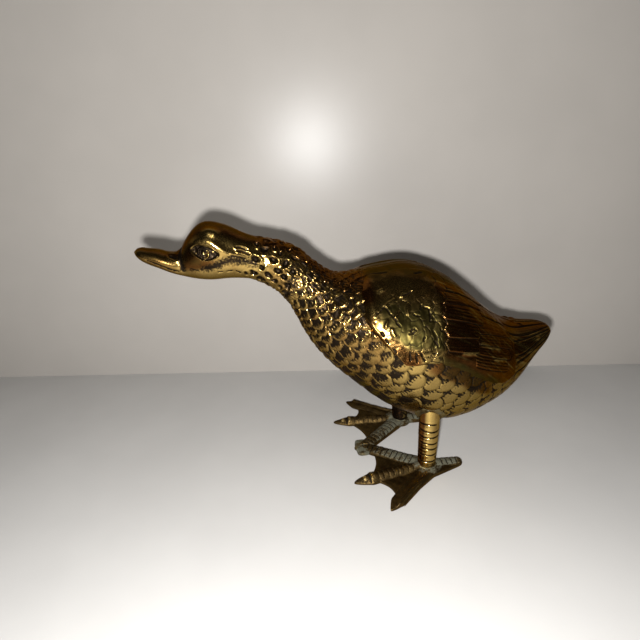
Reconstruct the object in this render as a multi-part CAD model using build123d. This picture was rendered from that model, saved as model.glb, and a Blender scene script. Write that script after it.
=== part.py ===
"""Brass duck ornament, built the way a foundry makes one.

Two hollow castings meet along the middle of the duck and are brazed together.
Two tapered legs stand in sockets in the belly and on two webbed feet. Each leg is
brazed at the hip and at the ankle, and the inner toes of the feet are brazed tip to tip.

The frame: +X points to the bill, +Y to the duck's left, +Z up.
The origin is on the floor, under the middle of the overall length. Sizes are in millimetres.
"""

from build123d import *
from math import cos, radians, sin
from typing import NamedTuple
import os


class Slice(NamedTuple):
    """One elliptical slice of the body, placed from the slice before it."""

    step: float
    climb: float
    lean: float
    half_height: float
    half_width: float


class Place(NamedTuple):
    """A slice with its worked-out centre, along the duck and above the floor."""

    forward: float
    height: float
    shape: Slice


class Toe(NamedTuple):
    """One toe: its heading from straight ahead, outwards in degrees, and its size."""

    heading: float
    length: float
    half_width: float
    height: float


# Body castings. The slices run from the back forwards to the bill, and rearwards to the tail.
# Each gives its step along the duck and its climb from the slice before it, how many
# degrees its top leans forward, and its half height and half width.
BACK_PLACE = -22.4
BACK = Slice(step=0.0, climb=0.0, lean=2, half_height=35.4, half_width=31.4)
SHOULDER = Slice(step=12.4, climb=4.2, lean=-3, half_height=31.4, half_width=28.6)
BREAST = Slice(step=12.2, climb=5.2, lean=-8, half_height=24.9, half_width=23.0)
BREAST_TOP = Slice(step=11.0, climb=5.9, lean=-17, half_height=18.2, half_width=17.6)
NECK_ROOT = Slice(step=7.4, climb=7.2, lean=-25, half_height=13.4, half_width=13.0)
NECK_LOW = Slice(step=5.7, climb=7.5, lean=-22, half_height=11.3, half_width=10.6)
NECK_MIDDLE = Slice(step=6.5, climb=6.4, lean=-17, half_height=10.2, half_width=9.6)
NECK_TOP = Slice(step=6.9, climb=3.6, lean=-15, half_height=9.0, half_width=8.6)
THROAT = Slice(step=7.7, climb=2.3, lean=-7, half_height=8.8, half_width=8.4)
NAPE = Slice(step=6.6, climb=2.0, lean=-2, half_height=10.3, half_width=9.2)
CROWN = Slice(step=7.6, climb=1.1, lean=-2, half_height=11.4, half_width=9.8)
FACE = Slice(step=6.6, climb=-1.0, lean=-4, half_height=9.5, half_width=8.4)
BILL_ROOT = Slice(step=4.8, climb=-3.0, lean=2, half_height=5.3, half_width=6.2)
BILL_MIDDLE = Slice(step=8.0, climb=1.9, lean=-6, half_height=3.7, half_width=5.6)
BILL_FRONT = Slice(step=5.0, climb=1.7, lean=-10, half_height=2.7, half_width=4.6)
BILL_END = Slice(step=3.0, climb=1.2, lean=-10, half_height=1.5, half_width=2.7)
BILL_TIP = Slice(step=1.0, climb=0.2, lean=-10, half_height=0.6, half_width=1.1)
BELLY = Slice(step=14.7, climb=-3.8, lean=4, half_height=34.2, half_width=30.4)
RUMP = Slice(step=12.9, climb=-2.4, lean=9, half_height=28.6, half_width=25.6)
VENT = Slice(step=10.0, climb=-1.8, lean=12, half_height=22.4, half_width=20.4)
TAIL_ROOT = Slice(step=9.5, climb=0.2, lean=14, half_height=15.4, half_width=15.6)
TAIL_MIDDLE = Slice(step=10.5, climb=4.2, lean=14, half_height=8.0, half_width=10.2)
TAIL_END = Slice(step=8.2, climb=3.3, lean=16, half_height=3.0, half_width=5.0)
TAIL_TIP = Slice(step=1.5, climb=0.6, lean=16, half_height=1.6, half_width=3.4)
WALL = 2.6
CORE_SHARE = 0.4
SEAM_WIDTH = 0.8

# Eyes: a bead on each side of the head, placed from the crown's slice and sunk into its side.
EYE_AHEAD = 1.8
EYE_RISE = 0.9
EYE_RADIUS = 2.6
EYE_SINK = 1.8

# Folded wings, cast in relief: the lower edge from the shoulder to the wing tip, as places ahead
# of the back's slice and above its centre. Each wing has three tiers of feathers. The long primaries
# reach the wing tip. The secondaries lie over them, and the coverts over both. The last two end on a
# straight line, given by its place ahead of the back's slice at the top and at the middle of that slice.
PRIMARY_RELIEF = 0.7
SECONDARY_RELIEF = 1.0
COVERT_RELIEF = 1.5
WING_GAP = 4.9
WING_EDGE = [(25.4, 28.0), (21.9, 16.5), (13.4, 8.9), (0.4, 2.2), (-15.6, -5.5), (-31.6, -11.0), (-43.6, -8.0)]
WING_TIP_RISE = 4.0
SECONDARY_END_TOP = -39.8
SECONDARY_END_MIDDLE = -13.7
COVERT_END_TOP = -5.4
COVERT_END_MIDDLE = 2.5

# Legs: their place under the back, the tapered shank, its engraved rings and its two ends.
LEG_BEHIND = 3.6
LEG_HALF_SPACING = 19.4
SHANK_LENGTH = 17.2
SHANK_ANKLE_RADIUS = 4.2
SHANK_TOP_RADIUS = 4.6
PLUG_LENGTH = 18.8
SOCKET_CLEARANCE = 0.05
BOSS_WALL = 2.6
TENON_RADIUS = 2.6
TENON_CLEARANCE = 0.05
TENON_RECESS = 0.4
RING_COUNT = 7
RING_PITCH = 3.2
RING_GAP = 0.8
RING_WIDTH = 1.2
RING_DEPTH = 0.35
RING_ARC = 210.0

# Feet: the ankle pad, the toes and the web between them. The inner toes are cut where they meet.
ANKLE_HEIGHT = 4.0
ANKLE_PAD_MARGIN = 0.4
WEB_THICKNESS = 1.8
WEB_REACH = 22.4
CLAW_LENGTH = 7.0
CLAW_TIP_HALF_WIDTH = 0.7
CLAW_TIP_HEIGHT = 0.8
INNER_HEADING = -38.5
INNER_CLAW_CUT = 4.8
INNER_LENGTH = LEG_HALF_SPACING / sin(radians(-INNER_HEADING)) + INNER_CLAW_CUT
INNER_TOE = Toe(heading=INNER_HEADING, length=INNER_LENGTH, half_width=2.8, height=3.6)
MIDDLE_TOE = Toe(heading=7.0, length=34.3, half_width=2.9, height=3.8)
OUTER_TOE = Toe(heading=44.5, length=32.0, half_width=2.7, height=3.6)
HIND_TOE = Toe(heading=182.0, length=17.4, half_width=2.7, height=3.4)

# Brazing: the bead round each hip, the fillet round each ankle, and the joint of the toes.
HIP_BEAD_THICKNESS = 1.3
HIP_BEAD_WIDTH = 2.0
ANKLE_FILLET_WIDTH = 2.2
ANKLE_FILLET_HEIGHT = 1.6
TOE_JOINT_WIDTH = 0.6

# The slices in order, outwards from the back.
FRONT_SLICES = [SHOULDER, BREAST, BREAST_TOP, NECK_ROOT, NECK_LOW, NECK_MIDDLE, NECK_TOP, THROAT,
                NAPE, CROWN, FACE, BILL_ROOT, BILL_MIDDLE, BILL_FRONT, BILL_END, BILL_TIP]
REAR_SLICES = [BELLY, RUMP, VENT, TAIL_ROOT, TAIL_MIDDLE, TAIL_END, TAIL_TIP]

# Heights, places and radii that follow from the sizes above.
SHANK_TOP = ANKLE_HEIGHT + SHANK_LENGTH
BACK_HEIGHT = SHANK_TOP + BACK.half_height
SOCKET_ROOF = SHANK_TOP + PLUG_LENGTH
SOCKET_RADIUS = SHANK_TOP_RADIUS + SOCKET_CLEARANCE
BOSS_RADIUS = SOCKET_RADIUS + BOSS_WALL
FILLET_RADIUS = SHANK_ANKLE_RADIUS + ANKLE_FILLET_WIDTH
FILLET_TOP = ANKLE_HEIGHT + ANKLE_FILLET_HEIGHT
LEG_PLACE = BACK_PLACE - LEG_BEHIND
BEYOND = 2 * sum(piece.step for piece in FRONT_SLICES + REAR_SLICES)


def placed_slices():
    """Every slice with its centre, from the tip of the bill to the tip of the tail."""
    places = [Place(BACK_PLACE, BACK_HEIGHT, BACK)]
    for piece in FRONT_SLICES:
        before = places[0]
        places.insert(0, Place(before.forward + piece.step, before.height + piece.climb, piece))
    for piece in REAR_SLICES:
        before = places[-1]
        places.append(Place(before.forward - piece.step, before.height + piece.climb, piece))
    return places


PLACES = placed_slices()


def place_of(piece):
    """Where a slice stands."""
    return next(place for place in PLACES if place.shape is piece)


def slice_face(place, growth):
    """The slice's ellipse, grown outwards on every side. Where the slice is thin, a core is kept."""
    lean = radians(place.shape.lean)
    plane = Plane(
        origin=(place.forward, 0, place.height),
        x_dir=(sin(lean), 0, cos(lean)),
        z_dir=(cos(lean), 0, -sin(lean)),
    )
    halves = [place.shape.half_height, place.shape.half_width]
    return plane * Ellipse(*[max(half + growth, half * CORE_SHARE) for half in halves])


def body_loft(growth=0.0):
    """A smooth solid through all the slices, bill to tail."""
    return loft([slice_face(place, growth) for place in PLACES])


def cavity():
    """The hollow inside the castings. The bill and the tail are left solid."""
    front = place_of(FACE).forward
    rear = place_of(TAIL_ROOT).forward
    room = Pos(rear, 0, 0) * Box(front - rear, BEYOND, BEYOND, align=(Align.MIN, Align.CENTER, Align.CENTER))
    return body_loft(-WALL) & room


def leg_cylinder(radius, bottom, top):
    """An upright cylinder on the left leg's axis."""
    place = Pos(LEG_PLACE, LEG_HALF_SPACING, bottom)
    return place * Cylinder(radius, top - bottom, align=(Align.CENTER, Align.CENTER, Align.MIN))


def left_of(offset):
    """The space to the left of a plane that lies that far from the middle."""
    return Pos(0, offset, 0) * Box(BEYOND, BEYOND, BEYOND, align=(Align.CENTER, Align.MIN, Align.CENTER))


def other_side(shape):
    """The shape's mirror image on the duck's right."""
    return mirror(shape, about=Plane.XZ)


def wing_prism():
    """The space to the left of the duck that lies inside the wing's outline."""
    edge = [(BACK_PLACE + ahead, 0, BACK_HEIGHT + rise) for ahead, rise in WING_EDGE]
    front, tip = edge[0], edge[-1]
    rear = (tip[0], 0, BACK_HEIGHT + WING_TIP_RISE)
    lower = Spline(*edge)
    upper = Polyline(tip, rear, (tip[0], 0, BEYOND), (front[0], 0, BEYOND), front)
    prism = extrude(make_face(lower + upper), amount=BEYOND, dir=(0, 1, 0))
    return prism & left_of(WING_GAP)


def ahead_of(end_top, end_middle):
    """The space ahead of a tier's end line, from the floor to twice the height of the back's centre."""
    swing = (end_top - end_middle) * BACK_HEIGHT / BACK.half_height
    floor_end = (BACK_PLACE + end_middle - swing, 0, 0)
    high_end = (BACK_PLACE + end_middle + swing, 0, 2 * BACK_HEIGHT)
    outline = Polyline(floor_end, (BEYOND, 0, 0), (BEYOND, 0, 2 * BACK_HEIGHT), high_end, close=True)
    return extrude(make_face(outline), amount=BEYOND, dir=(0, 1, 0))


def wing_relief():
    """The left wing: its three tiers, each the skin of a slightly larger body inside the wing's outline."""
    prism = wing_prism()
    primaries = body_loft(PRIMARY_RELIEF) & prism
    secondaries = body_loft(SECONDARY_RELIEF) & (prism & ahead_of(SECONDARY_END_TOP, SECONDARY_END_MIDDLE))
    coverts = body_loft(COVERT_RELIEF) & (prism & ahead_of(COVERT_END_TOP, COVERT_END_MIDDLE))
    return primaries + secondaries + coverts


def eye_bead():
    """The left eye, a ball sunk into the side of the head."""
    crown = place_of(CROWN)
    side = CROWN.half_width - EYE_SINK
    return Pos(crown.forward + EYE_AHEAD, side, crown.height + EYE_RISE) * Sphere(EYE_RADIUS)


def duck_body():
    """The outside of the whole body, solid."""
    left_relief = wing_relief() + eye_bead()
    return body_loft() + left_relief + other_side(left_relief)


def hollow_casting(body):
    """The body hollowed to its wall, with a boss and a socket for each leg."""
    boss = leg_cylinder(BOSS_RADIUS, 0, SOCKET_ROOF + BOSS_WALL) & body
    socket = leg_cylinder(SOCKET_RADIUS, 0, SOCKET_ROOF)
    return body - cavity() + boss + other_side(boss) - socket - other_side(socket)


def shank_radius(height):
    """The leg's radius at a height, tapered from the ankle to the belly."""
    share = min(1.0, (height - ANKLE_HEIGHT) / SHANK_LENGTH)
    return SHANK_ANKLE_RADIUS + share * (SHANK_TOP_RADIUS - SHANK_ANKLE_RADIUS)


def turned(profile, arc=360.0):
    """A profile of radius and height, turned about the left leg's axis and centred on its front."""
    upright = make_face(Polyline(*[(radius, 0, height) for radius, height in profile], close=True))
    return Pos(LEG_PLACE, LEG_HALF_SPACING, 0) * Rot(0, 0, -arc / 2) * revolve(upright, Axis.Z, revolution_arc=arc)


def leg():
    """The left leg: a tenon into the foot, a ringed taper, and a plug into the belly's socket."""
    shank = turned([
        (0, TENON_RECESS),
        (TENON_RADIUS, TENON_RECESS),
        (TENON_RADIUS, ANKLE_HEIGHT),
        (SHANK_ANKLE_RADIUS, ANKLE_HEIGHT),
        (SHANK_TOP_RADIUS, SHANK_TOP),
        (SHANK_TOP_RADIUS, SOCKET_ROOF),
        (0, SOCKET_ROOF),
    ])
    for index in range(RING_COUNT):
        height = FILLET_TOP + RING_GAP + index * RING_PITCH
        outside = shank_radius(height) + RING_DEPTH
        inside = shank_radius(height) - RING_DEPTH
        groove = [(inside, height), (outside, height - RING_WIDTH / 2), (outside, height + RING_WIDTH / 2)]
        shank -= turned(groove, RING_ARC)
    return shank


def toe_solid(toe):
    """A toe with a flat sole and a rounded back, tapered to a claw."""
    heading = radians(toe.heading)
    along = Vector(cos(heading), sin(heading), 0)
    across = Vector(-sin(heading), cos(heading), 0)
    ankle = Vector(LEG_PLACE, LEG_HALF_SPACING, 0)
    stations = [
        (0.0, toe.half_width, toe.height),
        (toe.length - CLAW_LENGTH, toe.half_width, toe.height),
        (toe.length, CLAW_TIP_HALF_WIDTH, CLAW_TIP_HEIGHT),
    ]
    faces = []
    for distance, half_width, height in stations:
        plane = Plane(origin=ankle + along * distance, x_dir=across, z_dir=along)
        back = EllipticalCenterArc((0, 0), half_width, height, arc_size=180)
        faces.append(plane * make_face(back + Line((-half_width, 0), (half_width, 0))))
    return loft(faces, ruled=True)


def floor_spot(heading, reach):
    """A point on the floor, that far from the left ankle."""
    angle = radians(heading)
    return (LEG_PLACE + reach * cos(angle), LEG_HALF_SPACING + reach * sin(angle))


def web_solid():
    """The thin web between the three front toes, from claw root to claw root."""
    ankle = (LEG_PLACE, LEG_HALF_SPACING)
    toes = [INNER_TOE, MIDDLE_TOE, OUTER_TOE]
    roots = [floor_spot(toe.heading, toe.length - CLAW_LENGTH) for toe in toes]
    edge = Line(ankle, roots[0]) + Line(roots[-1], ankle)
    for first, second, start, end in zip(toes, toes[1:], roots, roots[1:]):
        dip = floor_spot((first.heading + second.heading) / 2, WEB_REACH)
        edge += ThreePointArc(start, dip, end)
    return extrude(make_face(edge), amount=WEB_THICKNESS)


def foot():
    """The left foot: a pad with a hole for the leg's tenon, four toes and the web."""
    casting = leg_cylinder(FILLET_RADIUS + ANKLE_PAD_MARGIN, 0, ANKLE_HEIGHT) + web_solid()
    for toe in (MIDDLE_TOE, OUTER_TOE, INNER_TOE, HIND_TOE):
        casting += toe_solid(toe)
    casting &= left_of(TOE_JOINT_WIDTH / 2)
    casting -= leg_cylinder(FILLET_RADIUS, ANKLE_HEIGHT, FILLET_TOP)
    return casting - leg_cylinder(TENON_RADIUS + TENON_CLEARANCE, 0, ANKLE_HEIGHT)


def hip_bead(body):
    """Brazing metal that hugs the belly round the left leg."""
    bead = body_loft(HIP_BEAD_THICKNESS) & leg_cylinder(SHANK_TOP_RADIUS + HIP_BEAD_WIDTH, 0, SOCKET_ROOF)
    return bead - body - leg_cylinder(SOCKET_RADIUS, 0, SOCKET_ROOF)


def ankle_fillet():
    """Brazing metal in the corner between the left leg and its foot."""
    return turned([
        (SHANK_ANKLE_RADIUS, ANKLE_HEIGHT),
        (FILLET_RADIUS, ANKLE_HEIGHT),
        (shank_radius(FILLET_TOP), FILLET_TOP),
    ])


def toe_joint(left_foot):
    """Brazing metal between the inner claws, as wide as the gap between them."""
    claw_end = left_foot.faces().sort_by(Axis.Y)[0]
    return extrude(claw_end, amount=TOE_JOINT_WIDTH, dir=(0, -1, 0))


def build_nodes():
    """Every piece of the duck, by the name of its node."""
    body = duck_body()
    casting = hollow_casting(body)
    left_foot = foot()
    nodes = {
        "seam_braze": casting & Box(BEYOND, SEAM_WIDTH, BEYOND),
        "toe_braze": toe_joint(left_foot),
    }
    pairs = {
        "body_shell": casting & left_of(SEAM_WIDTH / 2),
        "leg": leg(),
        "foot": left_foot,
        "hip_braze": hip_bead(body),
        "ankle_braze": ankle_fillet(),
    }
    for name, shape in pairs.items():
        nodes[f"{name}_left"] = shape
        nodes[f"{name}_right"] = other_side(shape)
    return nodes


os.makedirs("parts", exist_ok=True)
for name, shape in build_nodes().items():
    export_step(shape, f"parts/{name}.step")
    box = shape.bounding_box()
    print(f"{name}: {shape.volume:.0f} mm3, x {box.min.X:.2f} to {box.max.X:.2f}, "
          f"y {box.min.Y:.2f} to {box.max.Y:.2f}, z {box.min.Z:.2f} to {box.max.Z:.2f}")
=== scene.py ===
"""Looks of the brass duck: its feathered castings, legs, webbed feet and brazing, on a pale floor.

Sizes are in millimetres and are turned to metres when a mesh is made.
The frame: +X points to the bill, +Y to the duck's left, +Z up, and the floor is at zero.
A place on the body is given by its station, the distance back along the spine from the tip of
the bill, and by its angle from the top of the slice, round the duck's left side to the bottom.
"""

import logging
from dataclasses import dataclass, field
from enum import Enum
from typing import Union

import bpy
import numpy as np
from mathutils import Matrix, Vector


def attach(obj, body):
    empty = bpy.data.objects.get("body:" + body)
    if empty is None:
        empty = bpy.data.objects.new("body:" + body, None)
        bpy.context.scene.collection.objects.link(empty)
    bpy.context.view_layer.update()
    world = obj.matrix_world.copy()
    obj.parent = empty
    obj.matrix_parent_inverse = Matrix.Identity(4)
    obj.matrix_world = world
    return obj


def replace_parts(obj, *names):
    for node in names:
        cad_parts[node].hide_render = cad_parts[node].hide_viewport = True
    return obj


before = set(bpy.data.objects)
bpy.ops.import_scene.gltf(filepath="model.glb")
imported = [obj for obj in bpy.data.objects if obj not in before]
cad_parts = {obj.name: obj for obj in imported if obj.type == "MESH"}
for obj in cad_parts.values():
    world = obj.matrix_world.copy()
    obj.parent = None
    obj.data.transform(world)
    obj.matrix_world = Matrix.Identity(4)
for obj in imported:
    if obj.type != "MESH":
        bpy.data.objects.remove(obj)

LOG = logging.getLogger("brass duck")
METRES_PER_MM = 0.001
LEG_PLACE = (-26.0, 19.4)
Grid = np.ndarray
Number = Union[float, Grid]
Colour = tuple
Material = bpy.types.Material
Piece = bpy.types.Object
Value = Union["Wire", float]


class Side(Enum):
    """The two sides of the duck."""

    LEFT = 1
    RIGHT = -1

    def label(self) -> str:
        """The side's word in the names of pieces and nodes."""
        return self.name.lower()


def smoothstep(low: float, high: float, value: Number) -> Number:
    """An S-shaped rise from 0 at low to 1 at high: 3t² - 2t³, with t held between 0 and 1."""
    share = np.clip((value - low) / (high - low), 0.0, 1.0)
    return share * share * (3.0 - 2.0 * share)


def window(value: Number, start: float, full: float, fade: float, end: float) -> Number:
    """An S-shaped rise from 0 at start to 1 at full, times the fall from 1 at fade to 0 at end."""
    return smoothstep(start, full, value) * smoothstep(end, fade, value)


def bell(gap: Number, width: float) -> Number:
    """A bell curve, exp(-(gap/width)²): 1 in its middle and 0.37 a width away from it."""
    return np.exp(-((gap / width) ** 2))


def circle(count: int) -> Grid:
    """Angles evenly spaced all the way round, in radians."""
    return np.linspace(0.0, 2.0 * np.pi, count, endpoint=False)


def unit(vectors: Grid) -> Grid:
    """The vectors, each divided by its own length."""
    return vectors / np.maximum(np.linalg.norm(vectors, axis=-1, keepdims=True), 1e-9)


def ripple(points: Grid, wavelength: float, seed: int) -> Grid:
    """Gentle lumps of hand-finished metal.

    The mean of eight sine waves over space, with seeded directions and phases.

    Args:
        points: places in mm, any shape ending in 3.
        wavelength: mean distance between lumps, in mm.
        seed: fixes the waves.

    Returns:
        Values between about -1 and 1, one for each point.
    """
    dice = np.random.default_rng(seed)
    directions = unit(dice.normal(size=(8, 3))) * dice.uniform(0.7, 1.4, size=(8, 1))
    phases = dice.uniform(0.0, 2.0 * np.pi, size=8)
    waves = np.sin(points @ directions.T * (2.0 * np.pi / wavelength) + phases)
    return waves.mean(axis=-1) * 1.6


class SmoothCurve:
    """A natural cubic spline: between knots a cubic, with equal slopes and bends where they meet."""

    def __init__(self, knots: Grid, values: Grid) -> None:
        """Works out the bend at each knot.

        Args:
            knots: increasing places.
            values: one row of values for each knot.
        """
        self.knots = np.asarray(knots, float)
        self.values = np.asarray(values, float).reshape(len(self.knots), -1)
        gaps = np.diff(self.knots)
        slopes = np.diff(self.values, axis=0) / gaps[:, None]
        inner = len(self.knots) - 2
        system = np.diag(2.0 * (gaps[:-1] + gaps[1:])) + np.diag(gaps[1:-1], 1) + np.diag(gaps[1:-1], -1)
        self.bends = np.zeros_like(self.values)
        if inner > 0:
            self.bends[1:-1] = np.linalg.solve(system, 6.0 * np.diff(slopes, axis=0))

    def __call__(self, places: Grid) -> Grid:
        """Reads the curve: in each gap, the cubic that the values and bends at its two knots give.

        Args:
            places: where it is read.

        Returns:
            The values at the places, with one more axis for the columns of values.
        """
        places = np.asarray(places, float)
        cell = np.clip(np.searchsorted(self.knots, places) - 1, 0, len(self.knots) - 2)
        gap = (self.knots[cell + 1] - self.knots[cell])[..., None]
        after = (places - self.knots[cell])[..., None]
        before = gap - after
        cubic = (self.bends[cell] * before**3 + self.bends[cell + 1] * after**3) / (6.0 * gap)
        start = self.values[cell] / gap - self.bends[cell] * gap / 6.0
        end = self.values[cell + 1] / gap - self.bends[cell + 1] * gap / 6.0
        return cubic + start * before + end * after


@dataclass(frozen=True)
class Slice:
    """One elliptical slice of the body: its step and climb from its neighbour nearer the back."""

    step: float
    climb: float
    lean: float
    half_height: float
    half_width: float


BACK = Slice(0.0, 0.0, 2, 35.4, 31.4)
FRONT_SLICES = (
    Slice(12.4, 4.2, -3, 31.4, 28.6),
    Slice(12.2, 5.2, -8, 24.9, 23.0),
    Slice(11.0, 5.9, -17, 18.2, 17.6),
    Slice(7.4, 7.2, -25, 13.4, 13.0),
    Slice(5.7, 7.5, -22, 11.3, 10.6),
    Slice(6.5, 6.4, -17, 10.2, 9.6),
    Slice(6.9, 3.6, -15, 9.0, 8.6),
    Slice(7.7, 2.3, -7, 8.8, 8.4),
    Slice(6.6, 2.0, -2, 10.3, 9.2),
    Slice(7.6, 1.1, -2, 11.4, 9.8),
    Slice(6.6, -1.0, -4, 9.5, 8.4),
    Slice(4.8, -3.0, 2, 5.3, 6.2),
    Slice(8.0, 1.9, -6, 3.7, 5.6),
    Slice(5.0, 1.7, -10, 2.7, 4.6),
    Slice(3.0, 1.2, -10, 1.5, 2.7),
    Slice(1.0, 0.2, -10, 0.6, 1.1),
)
REAR_SLICES = (
    Slice(14.7, -3.8, 4, 34.2, 30.4),
    Slice(12.9, -2.4, 9, 28.6, 25.6),
    Slice(10.0, -1.8, 12, 22.4, 20.4),
    Slice(9.5, 0.2, 14, 15.4, 15.6),
    Slice(10.5, 4.2, 14, 8.0, 10.2),
    Slice(8.2, 3.3, 16, 3.0, 5.0),
    Slice(1.5, 0.6, 16, 1.6, 3.4),
)


@dataclass
class DuckForm:
    """The bare body, bill to tail: ellipses carried along a curved spine."""

    back_place: float = -22.4
    back_height: float = 56.6
    end_rounding: float = 1.2
    curve: SmoothCurve = field(init=False)
    length: float = field(init=False)

    def __post_init__(self) -> None:
        """Places the slices and runs a smooth curve through their sizes."""
        front = [(piece.step, piece.climb) for piece in FRONT_SLICES]
        rear = [(-piece.step, piece.climb) for piece in REAR_SLICES]
        home = np.array([self.back_place, self.back_height])
        centres = np.vstack([home + np.cumsum(front, axis=0)[::-1], home, home + np.cumsum(rear, axis=0)])
        order = FRONT_SLICES[::-1] + (BACK,) + REAR_SLICES
        shapes = np.array([(np.radians(piece.lean), piece.half_height, piece.half_width) for piece in order])
        stations = np.r_[0.0, np.cumsum(np.linalg.norm(np.diff(centres, axis=0), axis=1))]
        self.length = float(stations[-1])
        self.curve = SmoothCurve(stations, np.hstack([centres, shapes]))

    def point(self, station: Number, angle: Number) -> Grid:
        """The skin's place: centre + up · half height · cos(angle) + left · half width · sin(angle).

        Both ends of the spine are rounded off like the end of an ellipsoid.

        Args:
            station: distance along the spine, in mm.
            angle: angle from the top, in radians.

        Returns:
            Points in mm.
        """
        station, angle = np.broadcast_arrays(np.asarray(station, float), np.asarray(angle, float))
        sizes = self.curve(np.clip(station, 0.0, self.length))
        along, height, lean, half_height, half_width = np.moveaxis(sizes, -1, 0)
        inset = np.minimum(station, self.length - station) / self.end_rounding
        round_off = np.sqrt(1.0 - (1.0 - np.clip(inset, 0.004, 1.0)) ** 2)
        rise = half_height * round_off * np.cos(angle)
        out = half_width * round_off * np.sin(angle)
        return np.stack([along + np.sin(lean) * rise, out, height + np.cos(lean) * rise], axis=-1)

    def normal(self, station: Number, angle: Number) -> Grid:
        """The outward direction: the cross product of the steps round and along the skin.

        Args:
            station: distance along the spine, in mm.
            angle: angle from the top, in radians.

        Returns:
            Vectors of length 1.
        """
        step = 0.05
        along = self.point(station + step, angle) - self.point(station - step, angle)
        turn = step / 10.0
        around = self.point(station, angle + turn) - self.point(station, angle - turn)
        return unit(np.cross(around, along))

    def rate(self, station: Grid) -> Grid:
        """Mean distance round the skin for one degree of angle, in mm."""
        sizes = self.curve(station)
        return (sizes[..., 3] + sizes[..., 4]) / 2.0 * np.pi / 180.0


@dataclass(frozen=True)
class Groove:
    """One cut along a smooth line. A negative depth raises a ridge instead.

    The line is a row of stations in mm and angles in degrees. Width is the half width, rim the height
    of the burr beside the cut and sway how far the line wanders, all in mm. Dark is how much dark
    filling the cut holds.
    """

    line: tuple
    width: float
    depth: float
    dark: float = 1.0
    rim: float = 0.0
    sway: float = 0.0


@dataclass
class Relief:
    """A patch of the duck's skin and the marks that are cast and cut into it.

    Height is measured along the outward normal, in mm. Grime is 1 in the depth of a cut, a half
    at the border of its dark filling, and 0 on clean metal. The body and the wing also lay painted
    shade into it along and below the wing's lower edge.
    """

    form: DuckForm
    station: Grid
    angle: Grid
    base: Grid = field(init=False)
    normal: Grid = field(init=False)
    height: Grid = field(init=False)
    grime: Grid = field(init=False)

    def __post_init__(self) -> None:
        """Works out the bare skin."""
        self.station, self.angle = np.broadcast_arrays(self.station, self.angle)
        self.base = self.form.point(self.station, self.angle)
        self.normal = self.form.normal(self.station, self.angle)
        self.height = np.zeros(self.station.shape)
        self.grime = np.zeros(self.station.shape)

    def degrees(self) -> Grid:
        """The points' angles from the top, in degrees."""
        return np.degrees(self.angle)

    def points(self) -> Grid:
        """The worked skin: bare skin + normal · height."""
        return self.base + self.normal * self.height[..., None]

    def rows_near(self, station: float, reach: float) -> slice:
        """The rows of the patch within a reach of a station."""
        rows = self.station[:, 0]
        return slice(int(np.searchsorted(rows, station - reach)), int(np.searchsorted(rows, station + reach)))

    def lay(self, rows: slice, beyond: Grid, plate: tuple, groove: tuple, where: Grid) -> None:
        """Lays a plate over the skin and cuts a groove outside its edge.

        Inside the edge the plate's height and grime take the place of what was there. Outside,
        the depth of the groove falls evenly to nothing, and so does its dark filling.

        Args:
            rows: the rows that are worked.
            beyond: distance outside the plate's edge in mm, negative inside.
            plate: height and grime of the plate.
            groove: reach of the groove and its depth, in mm.
            where: points that the plate may touch.
        """
        reach, depth = groove
        height, grime = self.height[rows], self.grime[rows]
        outside = np.maximum(beyond, 0.0)
        cut_height = height - depth * np.clip(1.0 - outside / (1.6 * reach), 0.0, 1.0)
        cut_grime = np.maximum(grime, np.clip(1.0 - 0.5 * outside / reach, 0.0, 1.0))
        covered = smoothstep(0.2, -0.18, beyond)
        self.height[rows] = np.where(where, cut_height * (1.0 - covered) + plate[0] * covered, height)
        self.grime[rows] = np.where(where, cut_grime * (1.0 - covered) + plate[1] * covered, grime)

    def streaks(self, stretch: float, wavelength: float, seed: int) -> Grid:
        """Ripples drawn out along the spine, where a mm of station counts only for the stretch."""
        around = self.degrees() * self.form.rate(self.station)
        return ripple(np.stack([self.station * stretch, around, 0.0 * around], axis=-1), wavelength, seed)

    def engrave(self, groove: Groove) -> None:
        """Cuts a groove along its line.

        Depth falls off as a bell curve with the distance from the line, and the burr is a narrower
        bell curve on either side of it.

        Args:
            groove: the cut.
        """
        knots = np.array(groove.line, float)
        run = np.r_[0.0, np.cumsum(np.hypot(np.diff(knots[:, 0]), np.diff(knots[:, 1]) * 0.15))]
        path = SmoothCurve(run, knots)(np.linspace(0.0, run[-1], 60))
        spine = self.form.point(path[:, 0], np.radians(path[:, 1]))
        spine = spine + groove.sway * np.stack([ripple(spine, 2.6, seed) for seed in (17, 18, 19)], axis=-1)
        reach = np.ptp(path[:, 0]) / 2.0 + 4.0 * groove.width + 2.0
        rows = self.rows_near(path[:, 0].mean(), reach)
        gap = np.full(self.station[rows].shape, np.inf)
        for place in spine:
            gap = np.minimum(gap, np.linalg.norm(self.base[rows] - place, axis=-1))
        burr = bell(gap - 1.9 * groove.width, 0.7 * groove.width)
        self.height[rows] += groove.rim * burr - groove.depth * bell(gap, groove.width)
        dark = groove.dark * np.clip(1.0 - 0.5 * gap / groove.width, 0.0, 1.0)
        self.grime[rows] = np.maximum(self.grime[rows], dark)


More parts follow.
